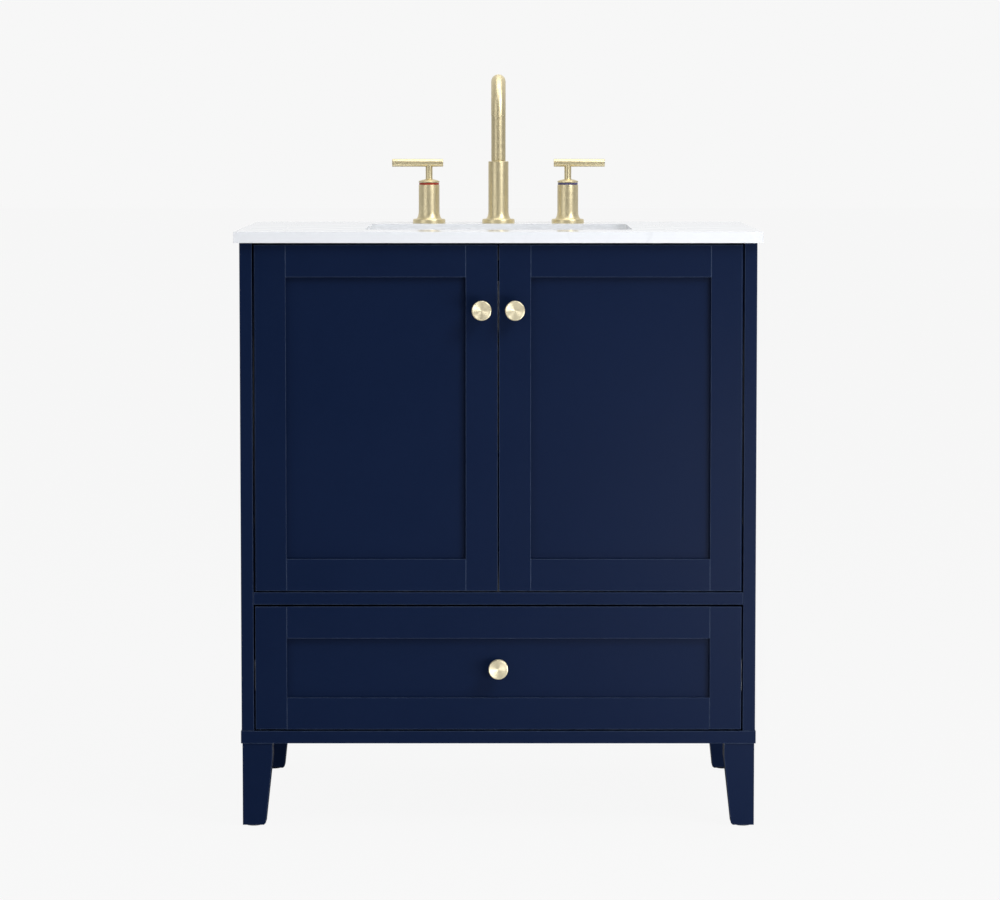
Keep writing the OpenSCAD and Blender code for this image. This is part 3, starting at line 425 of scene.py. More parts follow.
ledge_low, ledge_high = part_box("sink_basin")
bowl_middle = (ledge_low + ledge_high) / 2
MOUTH_W, MOUTH_D, MOUTH_CORNER = 0.197, 0.1645, 0.030
LEDGE_T, LEDGE_COVE, EDGE = 0.010, 0.003, 0.0012
DRAFT, WALL, FLOOR_UP = 0.028, 0.008, 0.012
SEAT_R, SEAT_DROP, SEAT_EASE = 0.0295, 0.003, 0.001
HOLE_R, HOLE_EASE = 0.0225, 0.002
rim_z = ledge_high.z
ledge_z = rim_z - LEDGE_T
floor_z = ledge_low.z + FLOOR_UP
bowl_depth = rim_z - floor_z
angles = ring_angles(MOUTH_W, MOUTH_D, MOUTH_CORNER, straight=12, bend=10)


def bowl_ring(inset, corner, z, grow=0.0):
    far = [box_ray(a, MOUTH_W - inset + grow, MOUTH_D - inset + grow, corner + grow)
           for a in angles]
    return [(math.cos(a) * r, math.sin(a) * r, z) for a, r in zip(angles, far)]


def round_ring(radius, z):
    return [(math.cos(a) * radius, math.sin(a) * radius, z) for a in angles]


def blend_ring(share, z, start, end):
    return [(p[0] + (q[0] - p[0]) * share, p[1] + (q[1] - p[1]) * share, z)
            for p, q in zip(start, end)]


# The ledge, from the mouth's edge over the top and round to its underside
out = (ledge_high.x - ledge_low.x) / 2 - MOUTH_W
rings = [bowl_ring(0.0, MOUTH_CORNER, z, grow) for z, grow in (
    (rim_z - EDGE, 0.0), (rim_z - EDGE * 0.3, EDGE * 0.3), (rim_z, EDGE), (rim_z, out - EDGE),
    (rim_z - EDGE, out), (ledge_z + EDGE, out), (ledge_z, out - EDGE),
    (ledge_z, WALL + LEDGE_COVE))]

# Outside: down the wall, round the sweep and in to the drain hole
OUT_SWEEP, OUT_LEAN, OUT_CORNER, OUT_STEPS = 0.030, 0.80, 0.010, 8
for step in range(OUT_STEPS + 1):
    low = ledge_z - LEDGE_COVE - (
        bowl_depth + FLOOR_UP - LEDGE_T - LEDGE_COVE - OUT_SWEEP) * step / OUT_STEPS
    inset = DRAFT * (rim_z - low) / (bowl_depth + FLOOR_UP)
    rings.append(bowl_ring(inset, MOUTH_CORNER, low, WALL))
for step in range(1, OUT_STEPS + 1):
    lean = math.radians(90.0 * step / OUT_STEPS)
    rings.append(bowl_ring(
        DRAFT * OUT_LEAN + OUT_SWEEP * (1 - math.cos(lean)),
        MOUTH_CORNER + OUT_CORNER * step / OUT_STEPS,
        ledge_low.z + OUT_SWEEP * (1 - math.sin(lean)), WALL))
outer_floor = rings[-1]
under = round_ring(HOLE_R + HOLE_EASE, ledge_low.z)
rings += [blend_ring(share, ledge_low.z, outer_floor, under) for share in (0.25, 0.5, 0.75, 1.0)]
rings += [round_ring(radius, z) for radius, z in (
    (HOLE_R, ledge_low.z + HOLE_EASE), (HOLE_R, floor_z - SEAT_DROP),
    (SEAT_R, floor_z - SEAT_DROP), (SEAT_R, floor_z - SEAT_EASE * 0.8))]

# Inside: out over the falling floor, round the sweep and up the wall to the mouth
FLOOR_SWEEP, FALL, DISH = 0.034, 0.0045, 1.3
IN_LEAN, IN_CORNER, IN_EASE = 0.93, 0.014, 0.0005
SWEEP_TURN, SWEEP_STEPS, WALL_STEPS, BOW = 78.0, 10, 9, 1.06
seat_edge = round_ring(SEAT_R + SEAT_EASE, floor_z)
inner_floor = bowl_ring(DRAFT * IN_LEAN + FLOOR_SWEEP, MOUTH_CORNER + IN_CORNER, floor_z + FALL)
rings += [blend_ring(share, floor_z + FALL * share ** DISH, seat_edge, inner_floor)
          for share in (0.0, 0.08, 0.3, 0.55, 0.8)]
for step in range(SWEEP_STEPS + 1):
    lean = math.radians(SWEEP_TURN * step / SWEEP_STEPS)
    inset = DRAFT * IN_LEAN + FLOOR_SWEEP * (1 - math.sin(lean)) + IN_EASE
    low = floor_z + FALL + FLOOR_SWEEP * (1 - math.cos(lean))
    rings.append(bowl_ring(inset, MOUTH_CORNER + IN_CORNER * (1 - step / SWEEP_STEPS), low))
for step in range(1, WALL_STEPS):
    share = step / WALL_STEPS
    rings.append(bowl_ring(
        inset * (1 - share) ** BOW, MOUTH_CORNER, low + (rim_z - EDGE - low) * share))
bowl = loft("china_bowl", rings, Vector((bowl_middle.x, bowl_middle.y, 0.0)), glaze)
bowl.data.set_sharp_from_angle(angle=math.radians(55.0))
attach(bowl, body_of["sink_basin"])
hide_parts("sink_basin")


# ---- Tap, drain and knobs in brushed gold ----
# Solid brass turned on a lathe, brushed round its axis while it spins, then coated in a pale
# champagne gold by vapour deposition. The gooseneck is a bent tube brushed round its girth.

# Fine lines round a turned piece, from its map: U runs along the outline, V round the axis
brushed, takes, gives = new_group(
    "brushed_lines", {"Map": ("Vector", None), "Lines": ("Float", 2600.0), "Smear": ("Float", 2.0)},
    {"Line": "Float", "Band": "Float"})
split = add(brushed, "SeparateXYZ", None, {"Vector": takes["Map"]})
fine = add(brushed, "Math", {"operation": "MULTIPLY"}, {0: split.outputs["X"], 1: takes["Lines"]})
slow = add(brushed, "Math", {"operation": "MULTIPLY"}, {0: split.outputs["Y"], 1: takes["Smear"]})
grid = add(brushed, "CombineXYZ", None, {"X": fine.outputs["Value"], "Y": slow.outputs["Value"]})
line = noise(brushed, grid.outputs["Vector"], 1.0, 3.0)
wide = add(brushed, "VectorMath", {"operation": "MULTIPLY"}, {
    0: grid.outputs["Vector"], 1: (0.05, 0.5, 1.0)})
band = noise(brushed, wide.outputs["Vector"], 1.0, 2.0)
brushed.links.new(line.outputs["Fac"], gives["Line"])
brushed.links.new(band.outputs["Fac"], gives["Band"])


def brushed_gold(name, dark, light, rough_low, rough_high, stretch):
    finish, tree, shader = new_finish(name, 1.0, **{"Anisotropic": stretch})
    around = add(tree, "UVMap", {"uv_map": "turned"})
    lines = place_group(tree, brushed, {"Map": around.outputs["UV"], "Lines": 2600.0, "Smear": 2.0})
    plate = mixed(tree, lines["Line"], (*dark, 1.0), (*light, 1.0))
    rough = spread(tree, lines["Band"], 0.3, 0.7, rough_low, rough_high)
    scratch = raised(tree, lines["Line"], 0.18, 0.0001)
    along = add(tree, "Tangent", {"direction_type": "UV_MAP", "uv_map": "turned"})
    dress(tree, shader, plate, rough, scratch)
    tree.links.new(along.outputs["Tangent"], shader["Tangent"])
    return finish


gold = brushed_gold(
    "brushed_gold", (0.72, 0.625, 0.395), (0.86, 0.755, 0.485), 0.38, 0.48, 0.5)
# The knobs take a lighter copy of the same gold: painted brightness standing in for the lamp light
# their faces catch
knob_gold_lit = brushed_gold(
    "brushed_gold_knob_lit", (0.88, 0.785, 0.545), (0.98, 0.89, 0.64), 0.42, 0.50, 0.7)


def arc(cx, cy, radius, start, end, steps):
    turns = [math.radians(start + (end - start) * n / steps) for n in range(steps + 1)]
    return [(cx + radius * math.cos(a), cy + radius * math.sin(a)) for a in turns]


def join_columns(work, seam, columns, lengths):
    """Faces between one ring of points and the next, mapped along the outline and round it."""
    segments = len(columns[0])
    for level in range(len(columns) - 1):
        a, b = columns[level], columns[level + 1]
        for n in range(segments):
            m = (n + 1) % segments
            corners = [(a[n], lengths[level], n), (a[m], lengths[level], n + 1),
                       (b[m], lengths[level + 1], n + 1), (b[n], lengths[level + 1], n)]
            corners = [c for i, c in enumerate(corners) if c[0] not in [d[0] for d in corners[:i]]]
            if len(corners) < 3:
                continue
            face = work.faces.new([c[0] for c in corners])
            face.smooth = True
            for loop, (point, length, step) in zip(face.loops, corners):
                loop[seam].uv = (length, step / segments)


def turned(work, outline, place, segments=72):
    """Adds a solid of revolution: outline is (radius, height) from axis to axis or closed."""
    seam = work.loops.layers.uv.get("turned") or work.loops.layers.uv.new("turned")
    lengths = [0.0]
    for (r0, h0), (r1, h1) in zip(outline, outline[1:]):
        lengths.append(lengths[-1] + math.hypot(r1 - r0, h1 - h0))
    columns = []
    for r, h in outline:
        if r < WELD:
            columns.append([work.verts.new(place @ Vector((0.0, 0.0, h)))] * segments)
        else:
            columns.append([work.verts.new(place @ Vector((
                r * math.cos(math.tau * n / segments),
                r * math.sin(math.tau * n / segments), h))) for n in range(segments)])
    join_columns(work, seam, columns, lengths)


def finish_piece(work, name, finish, nodes, sharp=40.0):
    """Closes the mesh off, and puts it on the body of the nodes that it stands for."""
    bmesh.ops.remove_doubles(work, verts=work.verts, dist=WELD)
    bmesh.ops.recalc_face_normals(work, faces=work.faces)
    mesh = bpy.data.meshes.new(name)
    work.to_mesh(mesh)
    work.free()
    mesh.materials.append(finish)
    mesh.set_sharp_from_angle(angle=math.radians(sharp))
    piece = in_scene(name, mesh)
    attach(piece, body_of[nodes[0]])
    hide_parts(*nodes)
    return piece


def upright(x, y, z):
    return Matrix.Translation((x, y, z))


# Drain: flange and threaded body, mapped round its axis, and the push-down stopper
flange_low, flange_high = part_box("drain_body")
drain_x = (flange_low.x + flange_high.x) / 2
drain_y = (flange_low.y + flange_high.y) / 2
THIN_EASE = 0.0003
drain = eased_copy("drain_body", "drain_body_turned", gold, THIN_EASE)
seam = drain.data.uv_layers.new(name="turned")
for face in drain.data.polygons:
    first = None
    for corner in face.loop_indices:
        point = drain.data.vertices[drain.data.loops[corner].vertex_index].co
        x, y = point.x - drain_x, point.y - drain_y
        turn = math.atan2(y, x) / math.tau
        if first is not None and abs(turn - first) > 0.5:
            turn -= math.copysign(1.0, turn - first)
        first = turn if first is None else first
        seam.data[corner].uv = (point.z + math.hypot(x, y), turn)

stop_low, stop_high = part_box("drain_stopper")
STEM_FOOT_R, CAP_DEEP, CAP_ROUND = 0.004, 0.005, 0.0008
cap_r = (stop_high.x - stop_low.x) / 2
cap_top = stop_high.z - stop_low.z
cap_low = cap_top - CAP_DEEP
work = bmesh.new()
turned(work, [(0.0, 0.0), (STEM_FOOT_R - 0.0006, 0.0), (STEM_FOOT_R, 0.0006),
              (STEM_FOOT_R, cap_low), (cap_r - 0.0005, cap_low)]
       + arc(cap_r - CAP_ROUND, cap_low + 0.0012, CAP_ROUND, -60, 60, 4)
       + [(cap_r - 0.003, cap_low + 0.0037), (cap_r - 0.006, cap_top - 0.0004),
          (cap_r * 0.5, cap_top - 0.0001), (0.0, cap_top)],
       upright(drain_x, drain_y, stop_low.z))
finish_piece(work, "push_stopper", gold, ["drain_stopper"])

# Tap bodies: a round flange, a swept flare and a straight body over a threaded shank
FLANGE, FLANGE_UP, FLANGE_EASE = 0.025, 0.0065, 0.0024
FLARE_UP, FLARE_OUT = 0.013, 0.0046
SHANK_R, SHANK_PLAIN, SHANK_CLEAR, SHANK_PITCH = 0.013, 0.016, 0.018, 0.0018
THREAD_R, THREAD_L, THREAD_PITCH, THREAD_TURNS = 0.0104, 0.016, 0.002, 7
GROOVE, TAP_EDGE, CRISP, WAY, BORE_L = 0.0007, 0.0008, 0.0004, 0.007, 0.034
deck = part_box("worktop")[1].z


def tap_outline(body_r, body_h, shank_l, bore_r):
    """Up the bore, over the body and flange, and down the shank to its end."""
    bore_z = body_h - BORE_L
    outline = [(bore_r, bore_z), (bore_r, body_h - CRISP), (bore_r + CRISP, body_h),
               (body_r - TAP_EDGE, body_h)]
    outline += arc(body_r - TAP_EDGE, body_h - TAP_EDGE, TAP_EDGE, 80, 0, 4)
    outline += [(body_r + FLARE_OUT * (1 - math.sin(math.radians(a))),
                 FLANGE_UP + FLARE_UP * (1 - math.cos(math.radians(a)))) for a in range(90, -1, -9)]
    outline += arc(FLANGE - FLANGE_EASE, FLANGE_UP - FLANGE_EASE, FLANGE_EASE, 90, 0, 8)
    outline += [(FLANGE, CRISP), (FLANGE - CRISP, 0.0), (SHANK_R, 0.0)]
    low = -(shank_l - THREAD_L)
    for n in range(int((shank_l - THREAD_L - SHANK_CLEAR) / SHANK_PITCH)):
        z = -SHANK_PLAIN - n * SHANK_PITCH
        outline += [(SHANK_R, z), (SHANK_R - GROOVE, z - SHANK_PITCH / 2)]
    outline += [(SHANK_R, low + 0.0006), (SHANK_R - 0.0006, low), (THREAD_R, low)]
    for n in range(THREAD_TURNS):
        z = low - THREAD_PITCH / 2 - n * THREAD_PITCH
        outline += [(THREAD_R, z), (THREAD_R - GROOVE, z - THREAD_PITCH / 2)]
    outline += [(THREAD_R, -shank_l + 0.0005), (THREAD_R - 0.0005, -shank_l), (WAY, -shank_l),
                (WAY, bore_z), (bore_r, bore_z)]
    return outline


for node, name, body_r, bore_r in (("hot_valve_body", "hot_tap_body", 0.016, 0.00505),
                                   ("cold_valve_body", "cold_tap_body", 0.016, 0.00505),
                                   ("spout_base", "spout_tap_body", 0.0155, 0.00955)):
    low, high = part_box(node)
    work = bmesh.new()
    turned(work, tap_outline(body_r, high.z - deck, deck - low.z, bore_r),
           upright((low.x + high.x) / 2, (low.y + high.y) / 2, deck))
    finish_piece(work, name, gold, [node])

# Levers: a shallow cap over the coloured ring, a stem, and a bar across it
CAP_R, CAP_T, CAP_RISE, CAP_GAP = 0.016, 0.0022, 0.0027, 0.003
STEM_R, SPINDLE_R, BAR_R, BAR_EASE = 0.0053, 0.005, 0.006, 0.001
for node, body_node, name in (("hot_lever", "hot_valve_body", "hot_tap_lever"),
                              ("cold_lever", "cold_valve_body", "cold_tap_lever")):
    low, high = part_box(node)
    body_low, body_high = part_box(body_node)
    x, y = (body_low.x + body_high.x) / 2, (body_low.y + body_high.y) / 2
    axis_z = high.z - BAR_R
    cap_z = body_high.z + CAP_GAP + CRISP
    stem_top = axis_z - cap_z - 0.002
    cap_over = CAP_T + CAP_RISE
    work = bmesh.new()
    turned(work, [(0.0, low.z - cap_z), (SPINDLE_R, low.z - cap_z), (SPINDLE_R, 0.0),
                  (CAP_R - CRISP, 0.0), (CAP_R, CRISP), (CAP_R, CAP_T - CRISP),
                  (CAP_R - 0.0005, CAP_T + 0.0001)]
           + [(CAP_R - (CAP_R - STEM_R) * s, CAP_T + CAP_RISE * (1 - (1 - s) ** 1.8))
              for s in (0.15, 0.3, 0.45, 0.6, 0.75, 0.88)]
           + [(STEM_R + 0.0002, cap_over + 0.0006), (STEM_R, cap_over + 0.0014),
              (STEM_R, stem_top), (0.0, stem_top)], upright(x, y, cap_z))
    lying = upright(low.x, y, axis_z) @ Matrix.Rotation(math.radians(90.0), 4, "Y")
    bar_l = high.x - low.x
    turned(work, [(0.0, 0.0), (BAR_R - 0.0014, 0.0)]
           + arc(BAR_R - BAR_EASE, BAR_EASE, BAR_EASE, -80, 0, 4) + [(BAR_R, bar_l / 2)]
           + arc(BAR_R - BAR_EASE, bar_l - BAR_EASE, BAR_EASE, 0, 80, 4)
           + [(BAR_R - 0.0014, bar_l), (0.0, bar_l)], lying, 64)
    finish_piece(work, name, gold, [node])

# Gooseneck: one tube swept up, over in a half circle and down to the outlet
spout_low, spout_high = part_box("spout")
TUBE_R, TUBE_EASE, SPIGOT_R, OUTLET_R, OUTLET_L = 0.011, 0.0005, 0.0095, 0.0092, 0.008
bend_r = (spout_high.y - spout_low.y) / 2 - TUBE_R
bend_y = (spout_high.y + spout_low.y) / 2
bend_z = spout_high.z - TUBE_R - bend_r
foot_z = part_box("spout_base")[1].z + CRISP
spout_x = (spout_low.x + spout_high.x) / 2


def tube(work, path, radii, segments=64):
    """A round skin along path points (y, z, slope in degrees), with a radius at each point."""
    seam = work.loops.layers.uv.get("turned") or work.loops.layers.uv.new("turned")
    columns, lengths = [], [0.0]
    for i, ((y, z, slope), r) in enumerate(zip(path, radii)):
        side = Vector((0.0, math.sin(math.radians(slope)), -math.cos(math.radians(slope))))
        middle = Vector((spout_x, y, z))
        columns.append([work.verts.new(
            middle + Vector((1.0, 0.0, 0.0)) * (r * math.cos(math.tau * n / segments))
            + side * (r * math.sin(math.tau * n / segments))) for n in range(segments)])
        if i:
            past_y, past_z = path[i - 1][:2]
            lengths.append(lengths[-1] + math.hypot(y - past_y, z - past_z, r - radii[i - 1]))
    join_columns(work, seam, columns, lengths)


def round_bend(radius, turns):
    """Points of the half circle, from above the riser (0) to above the outlet (180)."""
    return [(bend_y + bend_r * math.cos(math.radians(a)),
             bend_z + bend_r * math.sin(math.radians(a)), 90.0 + a, radius) for a in turns]


riser_y, drop_y = bend_y + bend_r, bend_y - bend_r
outer = [(riser_y, z, 90.0, radius) for z, radius in (
    (spout_low.z, SPIGOT_R - CRISP), (spout_low.z + CRISP, SPIGOT_R), (foot_z, SPIGOT_R),
    (foot_z, TUBE_R - TUBE_EASE), (foot_z + TUBE_EASE, TUBE_R))]
outer += [(riser_y, foot_z + (bend_z - foot_z) * s, 90.0, TUBE_R) for s in (0.25, 0.5, 0.75)]
outer += round_bend(TUBE_R, range(0, 180, 4))
outer += [(drop_y, z, 270.0, radius) for z, radius in (
    (bend_z + TUBE_EASE, TUBE_R), (bend_z, TUBE_R - TUBE_EASE), (bend_z, OUTLET_R),
    (bend_z + OUTLET_L, OUTLET_R), (bend_z + OUTLET_L, WAY))]
inner = round_bend(WAY, range(168, -1, -8))
inner += [(riser_y, z, 90.0, radius) for z, radius in (
    (foot_z, WAY), (spout_low.z, WAY), (spout_low.z, SPIGOT_R - CRISP))]
work = bmesh.new()
tube(work, [p[:3] for p in outer + inner], [p[3] for p in outer + inner])
finish_piece(work, "gooseneck_spout", gold, ["spout"])

# Knobs: a turned foot, a waisted neck and a drum with a dished, slightly coned face
KNOB_BORE, FOOT_R, FOOT_T, NECK_R, NECK_COVE = 0.0021, 0.008, 0.0025, 0.006, 0.004
DRUM_T, DRUM_EASE, FACE_STEP, FACE_DISH = 0.011, 0.001, 0.0001, 0.0011
for node in ("left_door_knob", "right_door_knob", "drawer_knob"):
    low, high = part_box(node)
    long = high.y - low.y
    head_r = (high.x - low.x) / 2
    head = long - DRUM_T
    outline = [(KNOB_BORE, 0.0), (FOOT_R - CRISP, 0.0), (FOOT_R, CRISP), (FOOT_R, FOOT_T - CRISP),
               (FOOT_R - CRISP, FOOT_T)]
    outline += [(NECK_R + 0.0016 * (1 - s) ** 2, FOOT_T + 0.0022 * s) for s in (0.3, 0.6, 1.0)]
    outline += [(NECK_R, head - NECK_COVE)]
    outline += [(NECK_R + 0.0024 * s ** 2, head - NECK_COVE * (1 - s)) for s in (0.4, 0.7, 1.0)]
    outline += [(head_r - 0.0012, head)]
    outline += arc(head_r - DRUM_EASE, head + DRUM_EASE, DRUM_EASE, -80, 0, 4)
    outline += arc(head_r - DRUM_EASE, long - DRUM_EASE, DRUM_EASE, 0, 80, 4)
    outline += [(head_r - 0.0014, long), (head_r - 0.0022, long - FACE_STEP)]
    outline += [(head_r * s, long - FACE_STEP - FACE_DISH * (1 - s) ** 1.2)
                for s in (0.8, 0.6, 0.4, 0.2, 0.08)]
    outline += [(0.0, long - FACE_STEP - FACE_DISH), (0.0, long - 0.014),
                (KNOB_BORE, long - 0.0175), (KNOB_BORE, 0.0)]
    facing = upright((low.x + high.x) / 2, high.y, (low.z + high.z) / 2) @ Matrix.Rotation(
        math.radians(90.0), 4, "X")
    work = bmesh.new()
    turned(work, outline, facing, 96)
    finish_piece(work, node + "_turned", knob_gold_lit, [node])


# ---- Coloured rings ----
# A red ring for hot and a blue one for cold, moulded in gloss plastic and trapped between each
# valve body and the cap of its lever.

def gloss_plastic(name, dark, light):
    finish, tree, shader = new_finish(name, **{"Specular IOR Level": 0.5})
    spot = add(tree, "TexCoord").outputs["Object"]
    swirl = noise(tree, spot, 240.0, 3.0)
    tone = mixed(tree, swirl.outputs["Fac"], dark, light)
    shine = spread(tree, swirl.outputs["Fac"], 0.3, 0.7, 0.22, 0.32)
    skin = raised(tree, swirl.outputs["Fac"], 0.06, 0.0001)
    dress(tree, shader, tone, shine, skin)
    return finish


red_plastic = gloss_plastic("red_ring", (0.36, 0.035, 0.018, 1.0), (0.46, 0.055, 0.028, 1.0))
blue_plastic = gloss_plastic("blue_ring", (0.075, 0.070, 0.160, 1.0), (0.105, 0.095, 0.210, 1.0))
eased_copy("hot_index_ring", "hot_ring", red_plastic, THIN_EASE)
eased_copy("cold_index_ring", "cold_ring", blue_plastic, THIN_EASE)


# ---- Hidden brass: nuts and tailpiece ----
# Machined brass under the slab: hexagon nuts with washers that clamp the taps, the drain's
# backnut, and the drawn tube that leads to the trap. Unplated, so slightly dull and spotted.

brass, tree, shader = new_finish("plain_brass", 1.0)
spot = add(tree, "TexCoord").outputs["Object"]
tarnish = noise(tree, spot, 45.0, 5.0, 0.7)
tool = add(tree, "VectorMath", {"operation": "MULTIPLY"}, {
    0: spot, 1: (60.0, 60.0, 1800.0)})
marks = noise(tree, tool.outputs["Vector"], 1.0, 2.0)
tone = mixed(tree, tarnish.outputs["Fac"], (0.50, 0.36, 0.15, 1.0), (0.72, 0.55, 0.27, 1.0))
rough = spread(tree, tarnish.outputs["Fac"], 0.3, 0.75, 0.42, 0.26)
cut = raised(tree, marks.outputs["Fac"], 0.15, 0.0001)
dress(tree, shader, tone, rough, cut)
NUT_EASE = 0.0004
for node in ("drain_nut", "tap_mounting_nuts", "drain_tailpiece"):
    eased_copy(node, node + "_machined", brass, NUT_EASE)


# ---- Plated steel: hinges, slides, clips and screws ----
# Pressed steel strip. The hinges are nickel plated and bright; the drawer slides, sink clips,
# aerator and screws are zinc plated, a little greyer and cloudier, with faint rolling lines.

def plated(name, dark, light, rough_low, rough_high):
    finish, tree, shader = new_finish(name, 1.0)
    spot = add(tree, "TexCoord").outputs["Object"]
    cloud = noise(tree, spot, 90.0, 4.0, 0.6)
    stretch = add(tree, "VectorMath", {"operation": "MULTIPLY"}, {
        0: spot, 1: (1500.0, 25.0, 1500.0)})
    rolled = noise(tree, stretch.outputs["Vector"], 1.0, 2.0)
    edge_band = place_group(tree, edge_wear_and_highlight, {"Width": 0.0006, "Patchiness": 160.0})
    tone = mixed(tree, cloud.outputs["Fac"], dark, light)
    # Lighter along the edges
    edge_lightened = mixed(tree, edge_band["Mask"], tone.outputs["Result"], (0.82, 0.82, 0.81, 1.0))
    rough = spread(tree, cloud.outputs["Fac"], 0.3, 0.7, rough_low, rough_high)
    skin = raised(tree, rolled.outputs["Fac"], 0.08, 0.0001)
    dress(tree, shader, edge_lightened, rough, skin)
    return finish


nickel = plated("nickel_steel", (0.50, 0.50, 0.48, 1.0), (0.66, 0.65, 0.62, 1.0), 0.16, 0.26)
zinc = plated("zinc_steel", (0.46, 0.48, 0.50, 1.0), (0.60, 0.61, 0.62, 1.0), 0.28, 0.42)
for node in ("hinge_plates", "hinge_arms", "left_door_hinge_cups", "right_door_hinge_cups"):
    eased_copy(node, node + "_plated", nickel, THIN_EASE)
for node in ("slide_cabinet_members", "slide_middle_members", "slide_drawer_members"):
    eased_copy(node, node + "_plated", zinc, THIN_EASE)
SCREW_EASE = 0.0002
for node in ("sink_clips", "leg_screws", "left_door_knob_screw", "right_door_knob_screw",
             "drawer_knob_screw", "aerator"):
    eased_copy(node, node + "_plated", zinc, SCREW_EASE)


# ---- Drawer box and corner blocks ----
# Birch plywood under clear lacquer: 12 mm walls with a 6 mm bottom let into grooves, and the
# triangular blocks that carry the worktop. The cut edges show the glued plies.

grain, takes, gives = new_group(
    "wood_grain", {"Spot": ("Vector", None), "Along": ("Vector", INWARD),
                   "Rings": ("Float", 38.0)}, {"Figure": "Float", "Pores": "Float"})
run = add(grain, "VectorMath", {"operation": "MULTIPLY"}, {0: takes["Spot"], 1: takes["Along"]})
sway = noise(grain, run.outputs["Vector"], 9.0, 3.0)
moved = add(grain, "VectorMath", {"operation": "SCALE"}, {0: sway.outputs["Color"], "Scale": 0.09})
path = add(grain, "VectorMath", {"operation": "ADD"}, {
    0: run.outputs["Vector"], 1: moved.outputs["Vector"]})
figure = noise(grain, path.outputs["Vector"], takes["Rings"], 3.0, 0.5)
pores = noise(grain, run.outputs["Vector"], 900.0, 2.0)
grain.links.new(figure.outputs["Fac"], gives["Figure"])
grain.links.new(pores.outputs["Fac"], gives["Pores"])


def plywood(name, through, along, ply):
    """Birch ply whose plies stack along the axis through, with face grain stretched by along."""
    finish, tree, shader = new_finish(name, **{"Specular IOR Level": 0.4, "Coat Roughness": 0.25})
    spot = add(tree, "TexCoord").outputs["Object"]
    wood = place_group(tree, grain, {
        "Spot": spot, "Along": along, "Rings": 38.0})
    split = add(tree, "SeparateXYZ", None, {"Vector": spot})
    layer = add(tree, "Math", {"operation": "PINGPONG"}, {
        0: split.outputs[through], 1: ply})
    stripe = spread(tree, layer.outputs["Value"], ply * 0.42, ply * 0.58)
    face = mixed(tree, wood["Figure"], (0.50, 0.335, 0.175, 1.0), (0.68, 0.51, 0.315, 1.0))
    plies = mixed(tree, stripe.outputs["Result"], (0.33, 0.20, 0.10, 1.0), face.outputs["Result"])
    flat = add(tree, "NewGeometry")
    facing = add(tree, "SeparateXYZ", None, {"Vector": flat.outputs["Normal"]})
    square = add(tree, "Math", {"operation": "ABSOLUTE"}, {0: facing.outputs[through]})
    edge = spread(tree, square.outputs["Value"], 0.9, 0.6)
    tone = mixed(tree, edge.outputs["Result"], face.outputs["Result"], plies.outputs["Result"])
    rough = spread(tree, wood["Figure"], 0.3, 0.7, 0.36, 0.48)
    skin = raised(tree, wood["Pores"], 0.2, 0.0002)
    dress(tree, shader, tone, rough, skin)
    shader["Coat Weight"].default_value = 0.2
    return finish


PLY, PLY_EASE = 0.0012, 0.0006
side_ply = plywood("birch_ply_sides", "X", INWARD, PLY)
end_ply = plywood("birch_ply_ends", "Y", ACROSS, PLY)
flat_ply = plywood("birch_ply_flat", "Z", ACROSS, PLY)
for node, finish in {"drawer_box_sides": side_ply, "drawer_box_front": end_ply,
                     "drawer_box_back": end_ply, "drawer_box_bottom": flat_ply,
                     "corner_blocks": flat_ply}.items():
    eased_copy(node, node + "_lacquered", finish, PLY_EASE)


# ---- Screws and slide balls ----
# Pan-head screws with a cross recess hold the hinge wings, the hinge plates and the corner
# blocks. Steel balls roll in rows between the cabinet's slide members and the middle ones.

HEAD_RIM, RECESS_IN, RECESS_OUT, ARM_HALF, WAIST = 0.12, 0.15, 0.47, 20.0, 0.62


def screw_head():
    """One screw head on the XY plane, its axis up, with a cross cut into its dome."""
    work = bmesh.new()
    turned(work, [(0.0, 0.0), (1.0, 0.0), (1.0, HEAD_RIM), (0.93, 0.34), (0.74, 0.50), (0.45, 0.58),
                  (0.40, 0.46), (0.22, 0.16), (0.0, 0.10)], Matrix.Identity(4), 16)
    for point in work.verts:
        radius = math.hypot(point.co.x, point.co.y)
        if RECESS_IN < radius < RECESS_OUT and point.co.z > HEAD_RIM:
            quarter = math.degrees(math.atan2(point.co.y, point.co.x)) % 90.0
            if ARM_HALF < quarter < 90.0 - ARM_HALF:
                point.co.x *= WAIST
                point.co.y *= WAIST
    bmesh.ops.recalc_face_normals(work, faces=work.faces)
    mesh = bpy.data.meshes.new("screw_head")
    work.to_mesh(mesh)
    work.free()
    return bpy.data.objects.new("screw_head", mesh)


def ball():
    """One small ball, a few dozen faces."""
    work = bmesh.new()
    bmesh.ops.create_icosphere(work, subdivisions=2, radius=1.0)
    for face in work.faces:
        face.smooth = True
    mesh = bpy.data.meshes.new("slide_ball")
    work.to_mesh(mesh)
    work.free()
    return bpy.data.objects.new("slide_ball", mesh)


